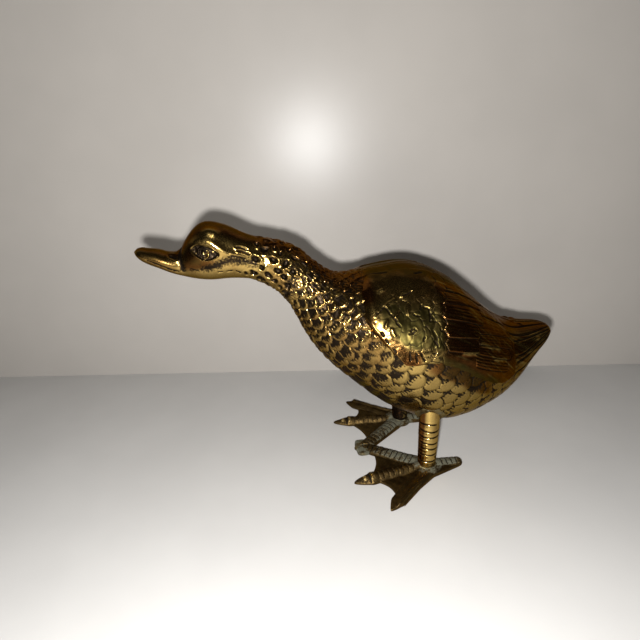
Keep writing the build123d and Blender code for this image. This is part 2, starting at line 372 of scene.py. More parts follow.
@dataclass(frozen=True)
class FeatherCoat:
    """The engraved feathers of neck, breast and belly.

    Rows of tongues lie across the spine. Each tongue's tip points to the tail and down. As far as the
    pits' end, a punched pit takes the place of each tongue. Tuples give a size at each of the stations,
    and it runs evenly between them.
    """

    stations: tuple = (45.0, 62.0, 80.0, 95.0, 108.0, 120.0, 150.0, 165.0, 176.0)
    width: tuple = (6.2, 5.6, 6.1, 6.9, 8.3, 9.6, 9.6, 8.0, 6.0)
    dark: tuple = (0.76, 0.74, 0.71, 0.69, 0.69, 0.72, 0.74, 0.68, 0.58)
    dark_end: tuple = (0.6, 0.58, 0.55, 0.5, 0.38, 0.1, -0.1, -0.25, -0.4)
    hollow: tuple = (0.75, 0.75, 0.7, 0.5, 0.3, 0.2, 0.2, 0.1, 0.0)
    side_cut: tuple = (0.35, 0.35, 0.36, 0.4, 0.46, 0.55, 0.55, 0.42, 0.3)
    tip_cut: tuple = (0.2, 0.2, 0.2, 0.2, 0.22, 0.24, 0.24, 0.22, 0.18)
    depth: tuple = (0.55, 0.55, 0.55, 0.5, 0.45, 0.42, 0.4, 0.35, 0.25)
    pits_end: float = 63.0
    pit_radius: float = 1.5
    pit_depth: float = 0.8
    first: float = 47.6
    last: float = 176.0
    tip_way: tuple = (-0.72, 0.0, -0.69)
    wander: float = 0.09
    turn: float = 14.0
    spread: float = 0.07
    uneven: float = 0.28
    seed: int = 7

    def at(self, sizes: tuple, station: Number) -> Number:
        """A size at a station."""
        return np.interp(station, self.stations, sizes)

    def sites(self, form: DuckForm) -> list:
        """Where the feathers sit: rows across the spine, each row shifted from the one before.

        Args:
            form: the bare body.

        Returns:
            Station, angle in radians, width and turn of each feather, the hindmost first.
        """
        dice = np.random.default_rng(self.seed)
        found = []
        station, shift = self.first, 0.0
        while station < self.last:
            width = float(self.at(self.width, station))
            square = float(smoothstep(75.0, 110.0, station))
            pitch = width * (0.5 + 0.207 * square)
            gap = width * (1.0 - 0.293 * square)
            fine = np.linspace(-0.4, np.pi + 0.4, 500)
            ring = form.point(station, fine)
            girth = np.r_[0.0, np.cumsum(np.linalg.norm(np.diff(ring, axis=0), axis=1))]
            start = np.interp(0.0, fine, girth)
            spots = start + (np.arange(-1, 30) + shift % 1.0) * gap
            spots = spots[spots < girth[-1]]
            angles = np.interp(spots + dice.normal(size=len(spots)) * gap * self.wander, girth, fine)
            stations = station + dice.normal(size=len(spots)) * pitch * self.wander
            turns = np.radians(dice.normal(size=len(spots)) * self.turn * 0.6)
            widths = width * (1.0 + dice.normal(size=len(spots)) * self.spread)
            found += list(zip(stations, angles, widths, turns))
            station += pitch
            shift += 0.5 + 0.5 * square
        way = np.array(self.tip_way)
        places = np.array([form.point(site[0], site[1]) for site in found]) @ way
        return [found[index] for index in np.argsort(-places)]

    def cut(self, skin: Relief, kept: Grid) -> None:
        """Cuts every feather into the skin, from the tail forwards, so each laps over the next.

        A tongue is the set of points with u² + v² < half² ahead of its middle and |v| < half behind
        it, where u runs along its tip, v across and half is half its width. Outside its free edge a
        narrow groove is cut. Inside, it rises towards a rounded lip, and its root is hollow and dark.

        Args:
            skin: the patch that is cut.
            kept: share of the relief that each point keeps.
        """
        way = np.array(self.tip_way)
        work = Relief(skin.form, skin.station, skin.angle)
        sway, lean = (
            self.uneven * (ripple(work.base, 4.2, seed) + 0.5 * ripple(work.base, 1.9, seed))
            for seed in (self.seed + 1, self.seed + 2)
        )
        ragged = 0.3 * ripple(work.base, 1.5, self.seed + 5) + 0.15 * ripple(work.base, 2.8, self.seed + 6)
        for station, angle, width, turn in self.sites(skin.form):
            rows = work.rows_near(station, 1.3 * width)
            if rows.stop <= rows.start:
                continue
            place = skin.form.point(station, angle)
            out = skin.form.normal(station, angle)
            tip = unit(way - out * (way @ out))
            tip = tip * np.cos(turn) + np.cross(out, tip) * np.sin(turn)
            offset = work.base[rows] - place
            u = offset @ tip + sway[rows]
            v = offset @ np.cross(out, tip) + lean[rows]
            near = np.linalg.norm(offset, axis=-1) < 1.3 * width
            if station < self.pits_end:
                self.punch_pit(work, rows, near, u, v, width / float(self.at(self.width, station)))
            else:
                self.lay_tongue(work, rows, near, u, v, station, width, ragged[rows])
        worn = 0.72 + 0.28 * smoothstep(18.0, 48.0, skin.degrees())
        skin.height = skin.height + work.height * kept
        skin.grime = np.maximum(skin.grime, work.grime * worn * smoothstep(0.0, 0.45, kept))

    def punch_pit(self, work: Relief, rows: slice, near: Grid, u: Grid, v: Grid, growth: float) -> None:
        """Punches one pit: an uneven hollow with a burr on the side of the tail.

        The hollow is an S-shaped fall of the distance from its middle, as a share of a radius that
        two sines swell and shrink round the pit. The burr is a bell curve outside it.

        Args:
            work: the patch that is cut.
            rows: the rows that are worked.
            near: points that the pit may touch.
            u: distance towards the tail, in mm.
            v: distance across, in mm.
            growth: the pit's size as a share of the usual one.
        """
        radius = self.pit_radius * growth**2
        turn = np.arctan2(v, u)
        uneven = 1.0 + 0.12 * np.sin(2.0 * turn + 40.0 * growth) + 0.08 * np.sin(3.0 * turn + 90.0 * growth)
        away = np.hypot(u, v * 1.08) / (radius * uneven)
        hollow = smoothstep(1.15, 0.35, away)
        burr = bell(away - 1.4, 0.36) * smoothstep(-0.5, 0.9, u / radius)
        work.height[rows] += np.where(near, 0.3 * burr - self.pit_depth * hollow, 0.0)
        dark = np.clip(1.0 - 0.5 * away, 0.0, 1.0)
        work.grime[rows] = np.where(near, np.maximum(work.grime[rows], dark), work.grime[rows])

    def lay_tongue(
        self, work: Relief, rows: slice, near: Grid, u: Grid, v: Grid, station: float, width: float, rag: Grid
    ) -> None:
        """Lays one tongue over what lies behind it: a rim round a dark root that ends in ragged strokes.

        Args:
            work: the patch that is cut.
            rows: the rows that are worked.
            near: points that the tongue may touch.
            u: distance towards its tip, in mm.
            v: distance across it, in mm.
            station: where it sits.
            width: its width in mm.
            rag: how far the strokes of its root run out, as a share of half the width.
        """
        half = width / 2.0
        across = np.abs(v) / half
        size = np.hypot(np.maximum(u, 0.0) / half, across)
        beyond = (size - 1.0) * half
        sideways = across / np.maximum(size, 1e-6)
        tip_cut, side_cut, depth, dark, dark_end, hollow = (
            float(self.at(sizes, station))
            for sizes in (self.tip_cut, self.side_cut, self.depth, self.dark, self.dark_end, self.hollow)
        )
        reach = tip_cut + (side_cut - tip_cut) * smoothstep(0.25, 0.85, sideways)
        rise = 0.55 * depth * (0.3 + 0.7 * smoothstep(-1.0, 0.8, u / half))
        lip = 0.45 * depth * smoothstep(-0.8, 0.1, beyond)
        inner = smoothstep(0.94, 0.66, size)
        settled = smoothstep(self.pits_end - 2.0, self.pits_end + 6.0, station)
        left = dark_end - u / half + rag + 0.15 * np.sin(5.0 * v + 3.0 * station)
        filled = dark * np.clip(0.5 + 1.5 * left, 0.0, 1.0) * inner * (0.5 + 0.5 * settled)
        sunk = hollow * depth * smoothstep(-0.3, 0.4, left) * inner * (1.0 - 0.7 * rag) * settled
        work.lay(rows, beyond, (rise - lip - sunk, filled), (reach, depth), near & (u > -1.15 * half))


class Wire:
    """A node's socket as a value in a sum. Each operator adds one Math node."""

    def __init__(self, bench: "ShaderBench", socket: bpy.types.NodeSocket) -> None:
        """Keeps the socket and the bench that owns it."""
        self.bench = bench
        self.socket = socket

    def _math(self, operation: str, first: Value, second: Value) -> "Wire":
        """One Math node on two values."""
        return self.bench.node("ShaderNodeMath", {"operation": operation}, {0: first, 1: second})

    def __add__(self, other: Value) -> "Wire":
        """This value plus another."""
        return self._math("ADD", self, other)

    __radd__ = __add__

    def __sub__(self, other: Value) -> "Wire":
        """This value less another."""
        return self._math("SUBTRACT", self, other)

    def __rsub__(self, other: float) -> "Wire":
        """A number less this value."""
        return self._math("SUBTRACT", other, self)

    def __mul__(self, other: Value) -> "Wire":
        """This value times another."""
        return self._math("MULTIPLY", self, other)

    __rmul__ = __mul__

    def rise(self, low: float, high: float) -> "Wire":
        """An S-shaped rise from 0 at low to 1 at high."""
        settings = {"interpolation_type": "SMOOTHSTEP"}
        return self.bench.node("ShaderNodeMapRange", settings, {0: self, 1: low, 2: high, 3: 0.0, 4: 1.0})


class ShaderBench:
    """A new material and the means to add nodes to it."""

    def __init__(self, name: str) -> None:
        """Makes an empty node material.

        Args:
            name: the material's name.
        """
        self.material = bpy.data.materials.new(name)
        self.material.use_nodes = True
        self.tree = self.material.node_tree
        self.tree.nodes.clear()

    def node(self, kind: str, settings: dict, sockets: dict, output: Union[int, str] = 0) -> Wire:
        """Adds a node.

        Args:
            kind: the node's type.
            settings: its properties, set before its sockets.
            sockets: values or wires by socket name or number.
            output: the socket that is handed back.

        Returns:
            The chosen output.
        """
        node = self.tree.nodes.new(kind)
        for key, value in settings.items():
            setattr(node, key, value)
        for key, value in sockets.items():
            if isinstance(value, Wire):
                self.tree.links.new(value.socket, node.inputs[key])
            else:
                node.inputs[key].default_value = value
        return Wire(self, node.outputs[output])

    def place(self) -> Wire:
        """The place on the piece, in metres."""
        return self.node("ShaderNodeTexCoord", {}, {}, "Object")

    def mark(self, name: str) -> Wire:
        """A value stored on the mesh's points."""
        return self.node("ShaderNodeAttribute", {"attribute_name": name}, {}, "Fac")

    def noise(self, grain: float, detail: float = 3.0, stretch: tuple = (1.0, 1.0, 1.0)) -> Wire:
        """Cloudy noise.

        Args:
            grain: size of a cloud in mm.
            detail: how many finer layers it has.
            stretch: how much longer the clouds are along each axis.

        Returns:
            A value round a half.
        """
        size = tuple(1.0 / (grain * METRES_PER_MM * share) for share in stretch)
        spot = self.node("ShaderNodeMapping", {}, {"Vector": self.place(), "Scale": size})
        sockets = {"Vector": spot, "Scale": 1.0, "Detail": detail, "Roughness": 0.6}
        return self.node("ShaderNodeTexNoise", {}, sockets)

    def bump(self, height: Wire, strength: float, distance: float) -> Wire:
        """Fine unevenness that follows a height, with its distance in mm."""
        sockets = {"Strength": strength, "Distance": distance * METRES_PER_MM, "Height": height}
        return self.node("ShaderNodeBump", {}, sockets)

    def blend(self, share: Union[Wire, float], first: Union[Wire, tuple], second: Union[Wire, tuple]) -> Wire:
        """A mix of two colours.

        Args:
            share: how much of the second colour it holds.
            first: the first colour.
            second: the second colour.

        Returns:
            The mixed colour.
        """
        ends = [colour if isinstance(colour, Wire) else (*colour, 1.0) for colour in (first, second)]
        settings = {"data_type": "RGBA", "clamp_factor": True}
        return self.node("ShaderNodeMix", settings, {0: share, 6: ends[0], 7: ends[1]}, 2)

    def finish(self, shader: Wire) -> Material:
        """Joins a shader to the material's output.

        Args:
            shader: the finished shader.

        Returns:
            The material.
        """
        output = self.tree.nodes.new("ShaderNodeOutputMaterial")
        self.tree.links.new(shader.socket, output.inputs["Surface"])
        return self.material


@dataclass(frozen=True)
class BrassFinish:
    """Cast brass, polished on top, tarnished in clouds and dark in its cuts."""

    name: str = "polished_brass"
    gold: Colour = (0.315, 0.21, 0.064)
    brown: Colour = (0.135, 0.052, 0.013)
    olive: Colour = (0.043, 0.034, 0.009)
    patina: Colour = (0.0165, 0.0108, 0.0062)
    edge: Colour = (0.52, 0.45, 0.37)
    gloss: float = 0.12
    brown_share: float = 0.0

    def material(self) -> Material:
        """Builds the node material.

        Brown and olive tarnish, a thin film and the dark filling cover the gold in turn, each where its
        mark and its noise add up to enough. The brown, olive and dark marks also carry painted shade,
        and the brown and olive marks painted reflection and highlight.

        Returns:
            The material.
        """
        bench = ShaderBench(self.name)
        cloud = bench.noise(14.0, 4.0)
        blotch = bench.noise(3.6, 4.0)
        speck = bench.noise(0.8, 4.0)
        scratch = bench.noise(0.35, 2.0, (7.0, 1.0, 1.6))
        wear = bench.noise(0.22, 1.0).rise(0.46, 0.62)
        tone = bench.mark("tone") + self.brown_share + (cloud - 0.5) * 0.7 + (blotch - 0.5) * 0.4
        green = bench.mark("olive") + (blotch - 0.5) * 0.5
        colour = bench.blend(tone.rise(0.1, 0.95), self.gold, self.brown)
        shade = green.rise(0.2, 0.95)
        colour = bench.blend(shade, colour, self.olive)
        dirt = (bench.mark("grime") + (speck - 0.5) * 0.9 + (blotch - 0.5) * 0.3).rise(0.37, 0.63)
        film = (blotch * 0.6 + speck - 0.8).rise(0.06, 0.4) * 0.5
        colour = bench.blend(film, colour, tuple(0.5 * part for part in self.brown))
        colour = bench.blend(dirt, colour, self.patina)
        worn = wear * (1.0 - shade * 0.7) * 0.17
        rough = self.gloss + worn + (cloud - 0.4) * 0.1 + (scratch - 0.5) * 0.1 + film * 0.2
        rough = rough + dirt * 0.18 + shade * 0.28
        relief = scratch * 0.3 + speck * (0.8 + dirt * 0.6) * (1.0 - shade * 0.5) - dirt * 1.3
        sockets = {
            "Base Color": colour,
            "Metallic": 1.0 - dirt * 0.1,
            "Roughness": rough,
            "Specular Tint": (*self.edge, 1.0),
            "Normal": bench.bump(relief, 0.28, 0.14),
        }
        return bench.finish(bench.node("ShaderNodeBsdfPrincipled", {}, sockets))


@dataclass(frozen=True)
class AgedFinish:
    """Dull cast brass with brown tarnish, and grey-green crust where the flux stayed."""

    name: str = "aged_brass"
    brass: Colour = (0.115, 0.074, 0.026)
    brown: Colour = (0.055, 0.034, 0.014)
    crust: Colour = (0.155, 0.157, 0.115)
    patina: Colour = (0.018, 0.014, 0.010)
    polish: Colour = (0.62, 0.44, 0.17)
    edge: Colour = (0.45, 0.35, 0.22)

    def material(self) -> Material:
        """Builds the node material.

        Brown tarnish, crust and the dark filling cover the brass in turn, and worn spots shine through
        them all.

        Returns:
            The material.
        """
        bench = ShaderBench(self.name)
        cloud = bench.noise(7.0, 4.0)
        blotch = bench.noise(2.4, 4.0)
        speck = bench.noise(0.6, 3.0)
        colour = bench.blend((cloud + (blotch - 0.5) * 0.8).rise(0.3, 0.75), self.brass, self.brown)
        crusted = (bench.mark("crust") + (blotch - 0.5) * 1.2 + (speck - 0.5) * 0.5).rise(0.42, 0.78)
        dirt = (bench.mark("grime") + (speck - 0.5) * 0.6).rise(0.38, 0.62)
        worn = (bench.mark("worn") + (speck - 0.5) * 0.5).rise(0.40, 0.80)
        shade = bench.blend(speck.rise(0.35, 0.7), tuple(0.6 * part for part in self.crust), self.crust)
        colour = bench.blend(crusted * 0.85, colour, shade)
        colour = bench.blend(dirt, colour, self.patina)
        colour = bench.blend(worn, colour, self.polish)
        rough = 0.47 + (speck - 0.5) * 0.2 + crusted * 0.35 + dirt * 0.2 - worn * 0.2
        relief = speck * 0.6 + blotch * 0.8 + crusted * 0.5 - dirt
        sockets = {
            "Base Color": colour,
            "Metallic": 1.0 - crusted * 0.8 - dirt * 0.1,
            "Roughness": rough,
            "Specular Tint": (*self.edge, 1.0),
            "Normal": bench.bump(relief, 0.8, 0.2),
        }
        return bench.finish(bench.node("ShaderNodeBsdfPrincipled", {}, sockets))


@dataclass(frozen=True)
class PaintFinish:
    """Matt paint of the floor and the backdrop, with a faint mottle."""

    name: str
    colour: Colour
    roughness: float = 0.55
    sheen: float = 0.5
    see_through_back: bool = False

    def material(self) -> Material:
        """Builds the node material. With a see-through back, the sheet hides nothing from behind.

        Returns:
            The material.
        """
        bench = ShaderBench(self.name)
        mottle = bench.noise(60.0, 3.0)
        grain = bench.noise(1.5, 2.0)
        dark = tuple(0.95 * part for part in self.colour)
        colour = bench.blend(mottle.rise(0.3, 0.7), self.colour, dark)
        sockets = {
            "Base Color": colour,
            "Roughness": self.roughness,
            "Specular IOR Level": self.sheen,
            "Normal": bench.bump(grain, 0.08, 0.2),
        }
        shader = bench.node("ShaderNodeBsdfPrincipled", {}, sockets)
        if self.see_through_back:
            behind = bench.node("ShaderNodeNewGeometry", {}, {}, "Backfacing")
            clear = bench.node("ShaderNodeBsdfTransparent", {}, {})
            shader = bench.node("ShaderNodeMixShader", {}, {0: behind, 1: shader, 2: clear})
        return bench.finish(shader)


class Ends(Enum):
    """How the first and last rows of a surface are closed."""

    CAPS = "a face over each end row"
    RING = "the last row joins the first"


def make_piece(
    name: str,
    points: Grid,
    material: Material,
    marks: dict,
    ends: Ends = Ends.CAPS,
    flat_columns: int = 0,
) -> Piece:
    """Makes a closed mesh from rows of points, where each row is a closed loop.

    Faces join each point to the next in its loop and to the row after. They are turned outwards by
    the sign of the enclosed volume.

    Args:
        name: the piece's name.
        points: rows by columns by 3, in mm.
        material: its finish.
        marks: values for each point, by name.
        ends: how the end rows are closed.
        flat_columns: how many of the last columns are shaded flat.

    Returns:
        The new object, at the origin.
    """
    rows, columns = points.shape[:2]
    index = np.arange(rows * columns).reshape(rows, columns)
    below = np.roll(index, -1, axis=0) if ends is Ends.RING else index[1:]
    here = index if ends is Ends.RING else index[:-1]
    quads = np.stack([here, np.roll(here, -1, axis=1), np.roll(below, -1, axis=1), below], axis=-1)
    smooth = np.ones(quads.shape[:2], bool)
    if flat_columns:
        smooth[:, -flat_columns:] = False
    quads = quads.reshape(-1, 4)
    flat = points.reshape(-1, 3)
    centred = flat - flat.mean(axis=0)
    corners = centred[quads]
    volume = np.einsum("ij,ij->i", corners[:, 0], np.cross(corners[:, 1], corners[:, 2])).sum()
    volume += np.einsum("ij,ij->i", corners[:, 0], np.cross(corners[:, 2], corners[:, 3])).sum()
    faces = quads.tolist()
    flags = smooth.reshape(-1).tolist()
    if ends is Ends.CAPS:
        faces += [index[0, ::-1].tolist(), index[-1].tolist()]
        flags += [False, False]
    if volume < 0:
        faces = [face[::-1] for face in faces]
    mesh = bpy.data.meshes.new(name)
    mesh.from_pydata((flat * METRES_PER_MM).tolist(), [], faces)
    mesh.polygons.foreach_set("use_smooth", flags)
    for key, values in marks.items():
        layer = mesh.attributes.new(key, "FLOAT", "POINT")
        spread = np.broadcast_to(np.asarray(values, np.float32), (rows, columns))
        layer.data.foreach_set("value", np.ascontiguousarray(spread).reshape(-1))
    mesh.update()
    mesh.materials.append(material)
    piece = bpy.data.objects.new(name, mesh)
    bpy.context.scene.collection.objects.link(piece)
    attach(piece, "root")
    LOG.info("%s: %d faces", name, len(faces))
    return piece


def mirrored(points: Grid, side: Side) -> Grid:
    """The points on that side of the duck, from points made for its left."""
    return points * np.array([1.0, float(side.value), 1.0])


def brass_marks(grime: Grid, tone: Grid, olive: Grid, plain_columns: int = 0) -> dict:
    """The marks that the brass finish reads.

    Args:
        grime: how much dark filling there is, with painted shade along the wing's lower edge and on the far
            leg.
        tone: how brown it is: tarnish, painted shade and painted reflection, less where a highlight is
            painted.
        olive: how dark and green it is: tarnish, painted shade and a painted reflection tint.
        plain_columns: how many columns of zeros are added.

    Returns:
        Values for each point, by name.
    """
    plain = np.zeros((len(grime), plain_columns))
    named = {"grime": grime, "tone": tone, "olive": olive}
    return {name: np.hstack([values, plain]) for name, values in named.items()}


@dataclass
class WingPlan:
    """The folded wing's outline and tiers on the duck's skin, stations in mm and angles in degrees."""

    low_stations: tuple = (93, 97.2, 103.2, 109.6, 115.6, 119.5, 123.5, 130.5, 139.3, 148.4, 163.8, 172, 184)
    low_angles: tuple = (52, 71, 81, 88, 93.5, 92, 89, 88, 92, 100, 117, 120, 108)
    top_angle: float = 9.0
    front_angles: tuple = (0.0, 20.0, 38.0, 57.0, 180.0)
    front_stations: tuple = (99.0, 96.5, 95.0, 96.0, 96.0)
    covert_angles: tuple = (0.0, 17.0, 32.0, 50.0, 65.0, 76.0, 90.0)
    covert_ends: tuple = (136.0, 134.7, 132.5, 129.0, 128.1, 127.7, 124.0)

    def lower(self, station: Grid) -> Grid:
        """The lower edge's angle at a station, in degrees."""
        return np.interp(station, self.low_stations, self.low_angles)

    def inside(self, skin: Relief) -> Grid:
        """Distance along the skin from the lower edge up to each point, in mm, negative below the edge."""
        return (self.lower(skin.station) - skin.degrees()) * skin.form.rate(skin.station)


@dataclass
class BodyShell:
    """One half of the body: a casting with feathers, bill, cheek and tail worked into its skin."""

    form: DuckForm
    wing: WingPlan
    coat: FeatherCoat
    eye: "Eye"
    columns: int = 176
    inner_columns: int = 8
    seam_width: float = 0.8
    wing_bed: float = 4.0
    eye_bed: float = 1.4
    row_breaks: tuple = (17.4, 44.0, 165.0)
    row_counts: tuple = (44, 92, 310, 62)
    tail_borders: tuple = (9.0, 27.0, 44.0, 60.0, 76.0, 92.0, 106.0)
    tail_glints: tuple = ((181.6, 16.0), (178.4, 10.0), (174.6, 56.0), (186.4, 66.5), (181.0, 84.0))
    skin: Relief = field(init=False)

    def stations(self) -> Grid:
        """The rows of the grid, closer together where the work is finer.

        Returns:
            Stations from the tip of the bill to the tip of the tail, in mm.
        """
        length = self.form.length
        curl = (1.0 - np.cos(np.linspace(0.0, np.pi / 2.0, 9))) * self.form.end_rounding
        breaks = (self.form.end_rounding, *self.row_breaks, length - self.form.end_rounding)
        spans = zip(breaks, breaks[1:], self.row_counts)
        runs = [np.linspace(start, end, count)[:-1] for start, end, count in spans]
        return np.concatenate([curl[:-1], *runs, length - curl[::-1]])

    def work(self) -> None:
        """Lays out the left half's grid and works its skin.

        The columns run from the seam on top to the seam below. Beside the wing they are spread
        thin under it and close together below it.
        """
        station = self.stations()[:, None]
        split = np.radians(np.clip(self.wing.lower(station) - 8.0, 20.0, 170.0))
        thin = 1.0 - 0.72 * window(station, 96.0, 110.0, 164.0, 176.0)
        share = thin * split / (thin * split + np.pi - split)
        q = np.linspace(0.0, 1.0, self.columns)[None, :]
        spread = np.where(q < share, split * q / share, split + (np.pi - split) * (q - share) / (1.0 - share))
        half_width = np.maximum(self.form.point(station, np.pi / 2.0)[..., 1], 1e-3)
        edge = np.arcsin(np.minimum(1.0, self.seam_width / 2.0 / half_width))
        angle = edge + (np.pi - 2.0 * edge) * spread / np.pi
        self.skin = Relief(self.form, station, angle)
        ends = window(station, 0.0, 4.0, self.form.length - 4.0, self.form.length)
        self.skin.height += 0.12 * ripple(self.skin.base, 11.0, 3) * ends
        self.coat.cut(self.skin, self.feather_share())
        self.skin.height -= self.wing_bed * self.under_wing()
        self.work_head()
        self.work_tail()
        filled = 0.46 * smoothstep(0.25, 0.6, self.smear())
        # Painted shade: dark filling on the skin along and below the wing's lower edge, towards the tail.
        shaded = 0.42 * self.below_wing() * window(station, 122.0, 130.0, 148.0, 166.0)
        self.skin.grime = np.max([self.skin.grime, filled, shaded], axis=0)

    def under_wing(self) -> Grid:
        """Where the casting lies hidden under the plate of coverts.

        Returns:
            1 well inside the wing, falling to 0 outside it.
        """
        along = window(self.skin.station, 100.0, 106.0, 134.0, 146.0)
        upwards = smoothstep(3.0, 9.0, self.wing.inside(self.skin))
        return along * upwards * smoothstep(16.0, 26.0, self.skin.degrees())

    def below_wing(self) -> Grid:
        """The skin behind the wing and along its lower edge: 1 as far as the edge, falling to 0 below it."""
        return smoothstep(-7.0, -1.0, self.wing.inside(self.skin))

    def feather_share(self) -> Grid:
        """Where the engraved feathers show: from the neck to the vent, not on the brazed patch by the hip.

        Returns:
            The share of the relief that each point keeps.
        """
        degrees = self.skin.degrees()
        station = self.skin.station
        start = smoothstep(43.0, 46.0, station - 2.5 * smoothstep(60.0, 150.0, degrees) + 2.0)
        end = smoothstep(177.0, 168.0, station)
        crest = smoothstep(96.0, 104.0, station) * smoothstep(20.0, 12.0, degrees)
        smeared = smoothstep(0.3, 0.75, self.smear())
        return start * end * (1.0 - 0.9 * smeared) * (1.0 - crest)

    def smear(self) -> Grid:
        """The patch ahead of the hip where the brazing filled the feathers: a bell curve over the belly."""
        x, y, z = np.moveaxis(self.skin.base, -1, 0)
        return bell(x + 16.0, 8.0) * bell(z - 31.0, 6.5) * (y > 8.0)

    def work_head(self) -> None:
        """Cuts the bill's root, its mouth and nostril, raises the brow and hollows the cheek's band."""
        bill_root = Groove(((18.6, 14.0), (18.0, 45.0), (18.4, 80.0), (18.7, 112.0)), 1.2, 0.45, 0.85)
        nostril = Groove(((14.4, 37.0), (15.4, 42.0), (16.2, 49.0)), 0.8, 0.6, 1.0, 0.2)
        mouth = (
            Groove(((5.6, 99.0), (7.4, 103.0)), 0.4, 0.2, 0.7),
            Groove(((8.2, 105.0), (10.8, 109.0)), 0.5, 0.25, 0.8),
            Groove(((11.8, 110.0), (14.0, 113.0)), 0.55, 0.25, 0.8),
            Groove(((15.0, 115.0), (16.4, 117.0)), 0.6, 0.3, 0.85),
        )
        brow_line = ((25.0, 57.0), (30.6, 63.0), (33.7, 73.0), (36.8, 82.0), (42.6, 79.0), (48.0, 71.0))
        brow = Groove(brow_line, 1.4, -0.5, 0.0)
        crown = Groove(((30.2, 43.5), (32.0, 45.0)), 2.1, -1.15, 0.0)
        jaw = Groove(((22.6, 118.0), (26.0, 121.0), (29.0, 118.0)), 1.5, 0.25, 0.6)
        band_line = ((28.2, 119.0), (32.6, 110.0), (36.6, 99.0), (42.6, 92.5), (47.6, 91.0))
        cheek_band = Groove(band_line, 2.5, 0.4, 0.7)
        throat_cuts = (
            Groove(((33.0, 127.0), (34.4, 126.0)), 0.3, 0.25, 0.85),
            Groove(((36.4, 125.0), (38.4, 122.0)), 0.34, 0.25, 0.85),
            Groove(((40.2, 122.0), (41.8, 126.0)), 0.34, 0.25, 0.85),
            Groove(((44.0, 124.0), (44.6, 131.0)), 0.5, 0.35, 0.95, 0.1),
            Groove(((46.5, 116.0), (47.5, 124.0)), 0.55, 0.4, 0.95, 0.1),
        )
        neck_cuts = (
            Groove(((38.5, 86.0), (41.0, 85.0), (43.5, 86.0)), 0.42, 0.3, 0.85, 0.1),
            Groove(((40.2, 64.0), (42.0, 61.0), (44.2, 63.0)), 0.4, 0.3, 0.8, 0.14),
            Groove(((41.0, 71.0), (43.0, 69.0), (45.0, 72.0)), 0.4, 0.3, 0.8, 0.14),
        )
        for groove in (bill_root, nostril, *mouth, brow, crown, jaw, cheek_band, *throat_cuts, *neck_cuts):
            self.skin.engrave(groove)
        socket = self.eye.spread(self.skin.station, self.skin.degrees())
        self.skin.height -= self.eye_bed * smoothstep(0.85, 0.5, socket)

    def work_tail(self) -> None:
        """Cuts the tail's long feathers: grooves along the spine, fine lines between, and raised glints."""
        skin = self.skin
        degrees = skin.degrees()
        rate = self.form.rate(skin.station)
        shown = window(skin.station, 166.0, 174.0, 194.0, 197.5) * smoothstep(128.0, 110.0, degrees)
        for border in self.tail_borders:
            gap = np.abs(degrees - border - 4.0 * np.sin(skin.station / 9.0 + border)) * rate
            skin.height -= 0.4 * shown * bell(gap, 0.4)
            dark = np.clip(1.0 - 0.5 * gap / 0.42, 0.0, 1.0)
            skin.grime = np.maximum(skin.grime, dark * smoothstep(0.1, 0.6, shown))
        barbs = np.sin(degrees * 1.15 + skin.station * 0.1)
        skin.height -= 0.07 * shown * smoothstep(0.5, 1.0, barbs)
        for station, angle in self.tail_glints:
            skin.engrave(Groove(((station, angle), (station + 1.4, angle + 2.0)), 0.6, -0.5, 0.0))

    def spot(self, station: float, length: float, degrees: float, breadth: float) -> Grid:
        """A bell-shaped spot on the skin, round a station in mm and an angle in degrees."""
        across = bell(self.skin.degrees() - degrees, breadth)
        return bell(self.skin.station - station, length) * across

    def tone(self) -> Grid:
        """How brown the skin is: most on upward skin, the tail and under the wing, least on the belly.

        The brown is tarnish, except that on upward skin it is partly painted shade and under the wing it
        is painted shade; a spot on the crown is kept golden as a painted highlight.

        Returns:
            0 for golden skin, rising to 1 for brown.
        """
        degrees = self.skin.degrees()
        station = self.skin.station
        # Brown on upward skin: partly tarnish, partly painted shade.
        top = 0.95 * smoothstep(74.0, 26.0, degrees)
        streak = 0.5 + 0.6 * self.skin.streaks(0.14, 1.9, 53)
        tail = streak * smoothstep(156.0, 172.0, station) * smoothstep(134.0, 112.0, degrees)
        bill = 0.45 * smoothstep(20.0, 14.0, station)
        head = 0.32 * smoothstep(52.0, 40.0, station)
        cheek = 1.1 * self.spot(25.5, 8.0, 99.0, 25.0)
        lores = 0.85 * self.spot(22.6, 3.4, 72.0, 22.0)
        breast = 0.46 * window(station, 40.0, 60.0, 100.0, 126.0)
        # Painted shade: brown below the wing's lower edge.
        under = self.below_wing() * window(station, 120.0, 130.0, 146.0, 166.0)
        smeared = 0.6 * smoothstep(0.25, 0.6, self.smear())
        brown = np.max([top, tail, bill, head, cheek, lores, breast, under, smeared], axis=0)
        # Painted highlight: the brown is taken off a small spot on the crown.
        painted_crown_highlight = self.spot(30.6, 2.2, 48.0, 9.0)
        return brown * (1.0 - painted_crown_highlight)

    def olive(self) -> Grid:
        """How dark and green the skin is: on head and neck, along the back, below wing and belly.

        The neck and bill spots are a painted reflection tint, the head's top is partly painted shade, and
        the back, the skin below the wing and the belly's underside carry painted shade; the rest is tarnish.

        Returns:
            0 for clean skin, rising as it darkens.
        """
        degrees = self.skin.degrees()
        station = self.skin.station
        # Painted reflection: an olive tint on the neck and the bill.
        neck = self.spot(39.0, 6.0, 60.0, 14.0)
        bill = self.spot(8.0, 4.0, 72.0, 18.0)
        nape = self.spot(84.0, 9.0, 52.0, 14.0)
        cheek = 1.1 * self.spot(25.0, 7.0, 98.0, 22.0)
        lores = 0.8 * self.spot(22.6, 3.4, 70.0, 24.0)
        # Top of head and neck: tarnish and painted shade.
        crest = 0.95 * smoothstep(46.0, 20.0, degrees) * smoothstep(58.0, 44.0, station)
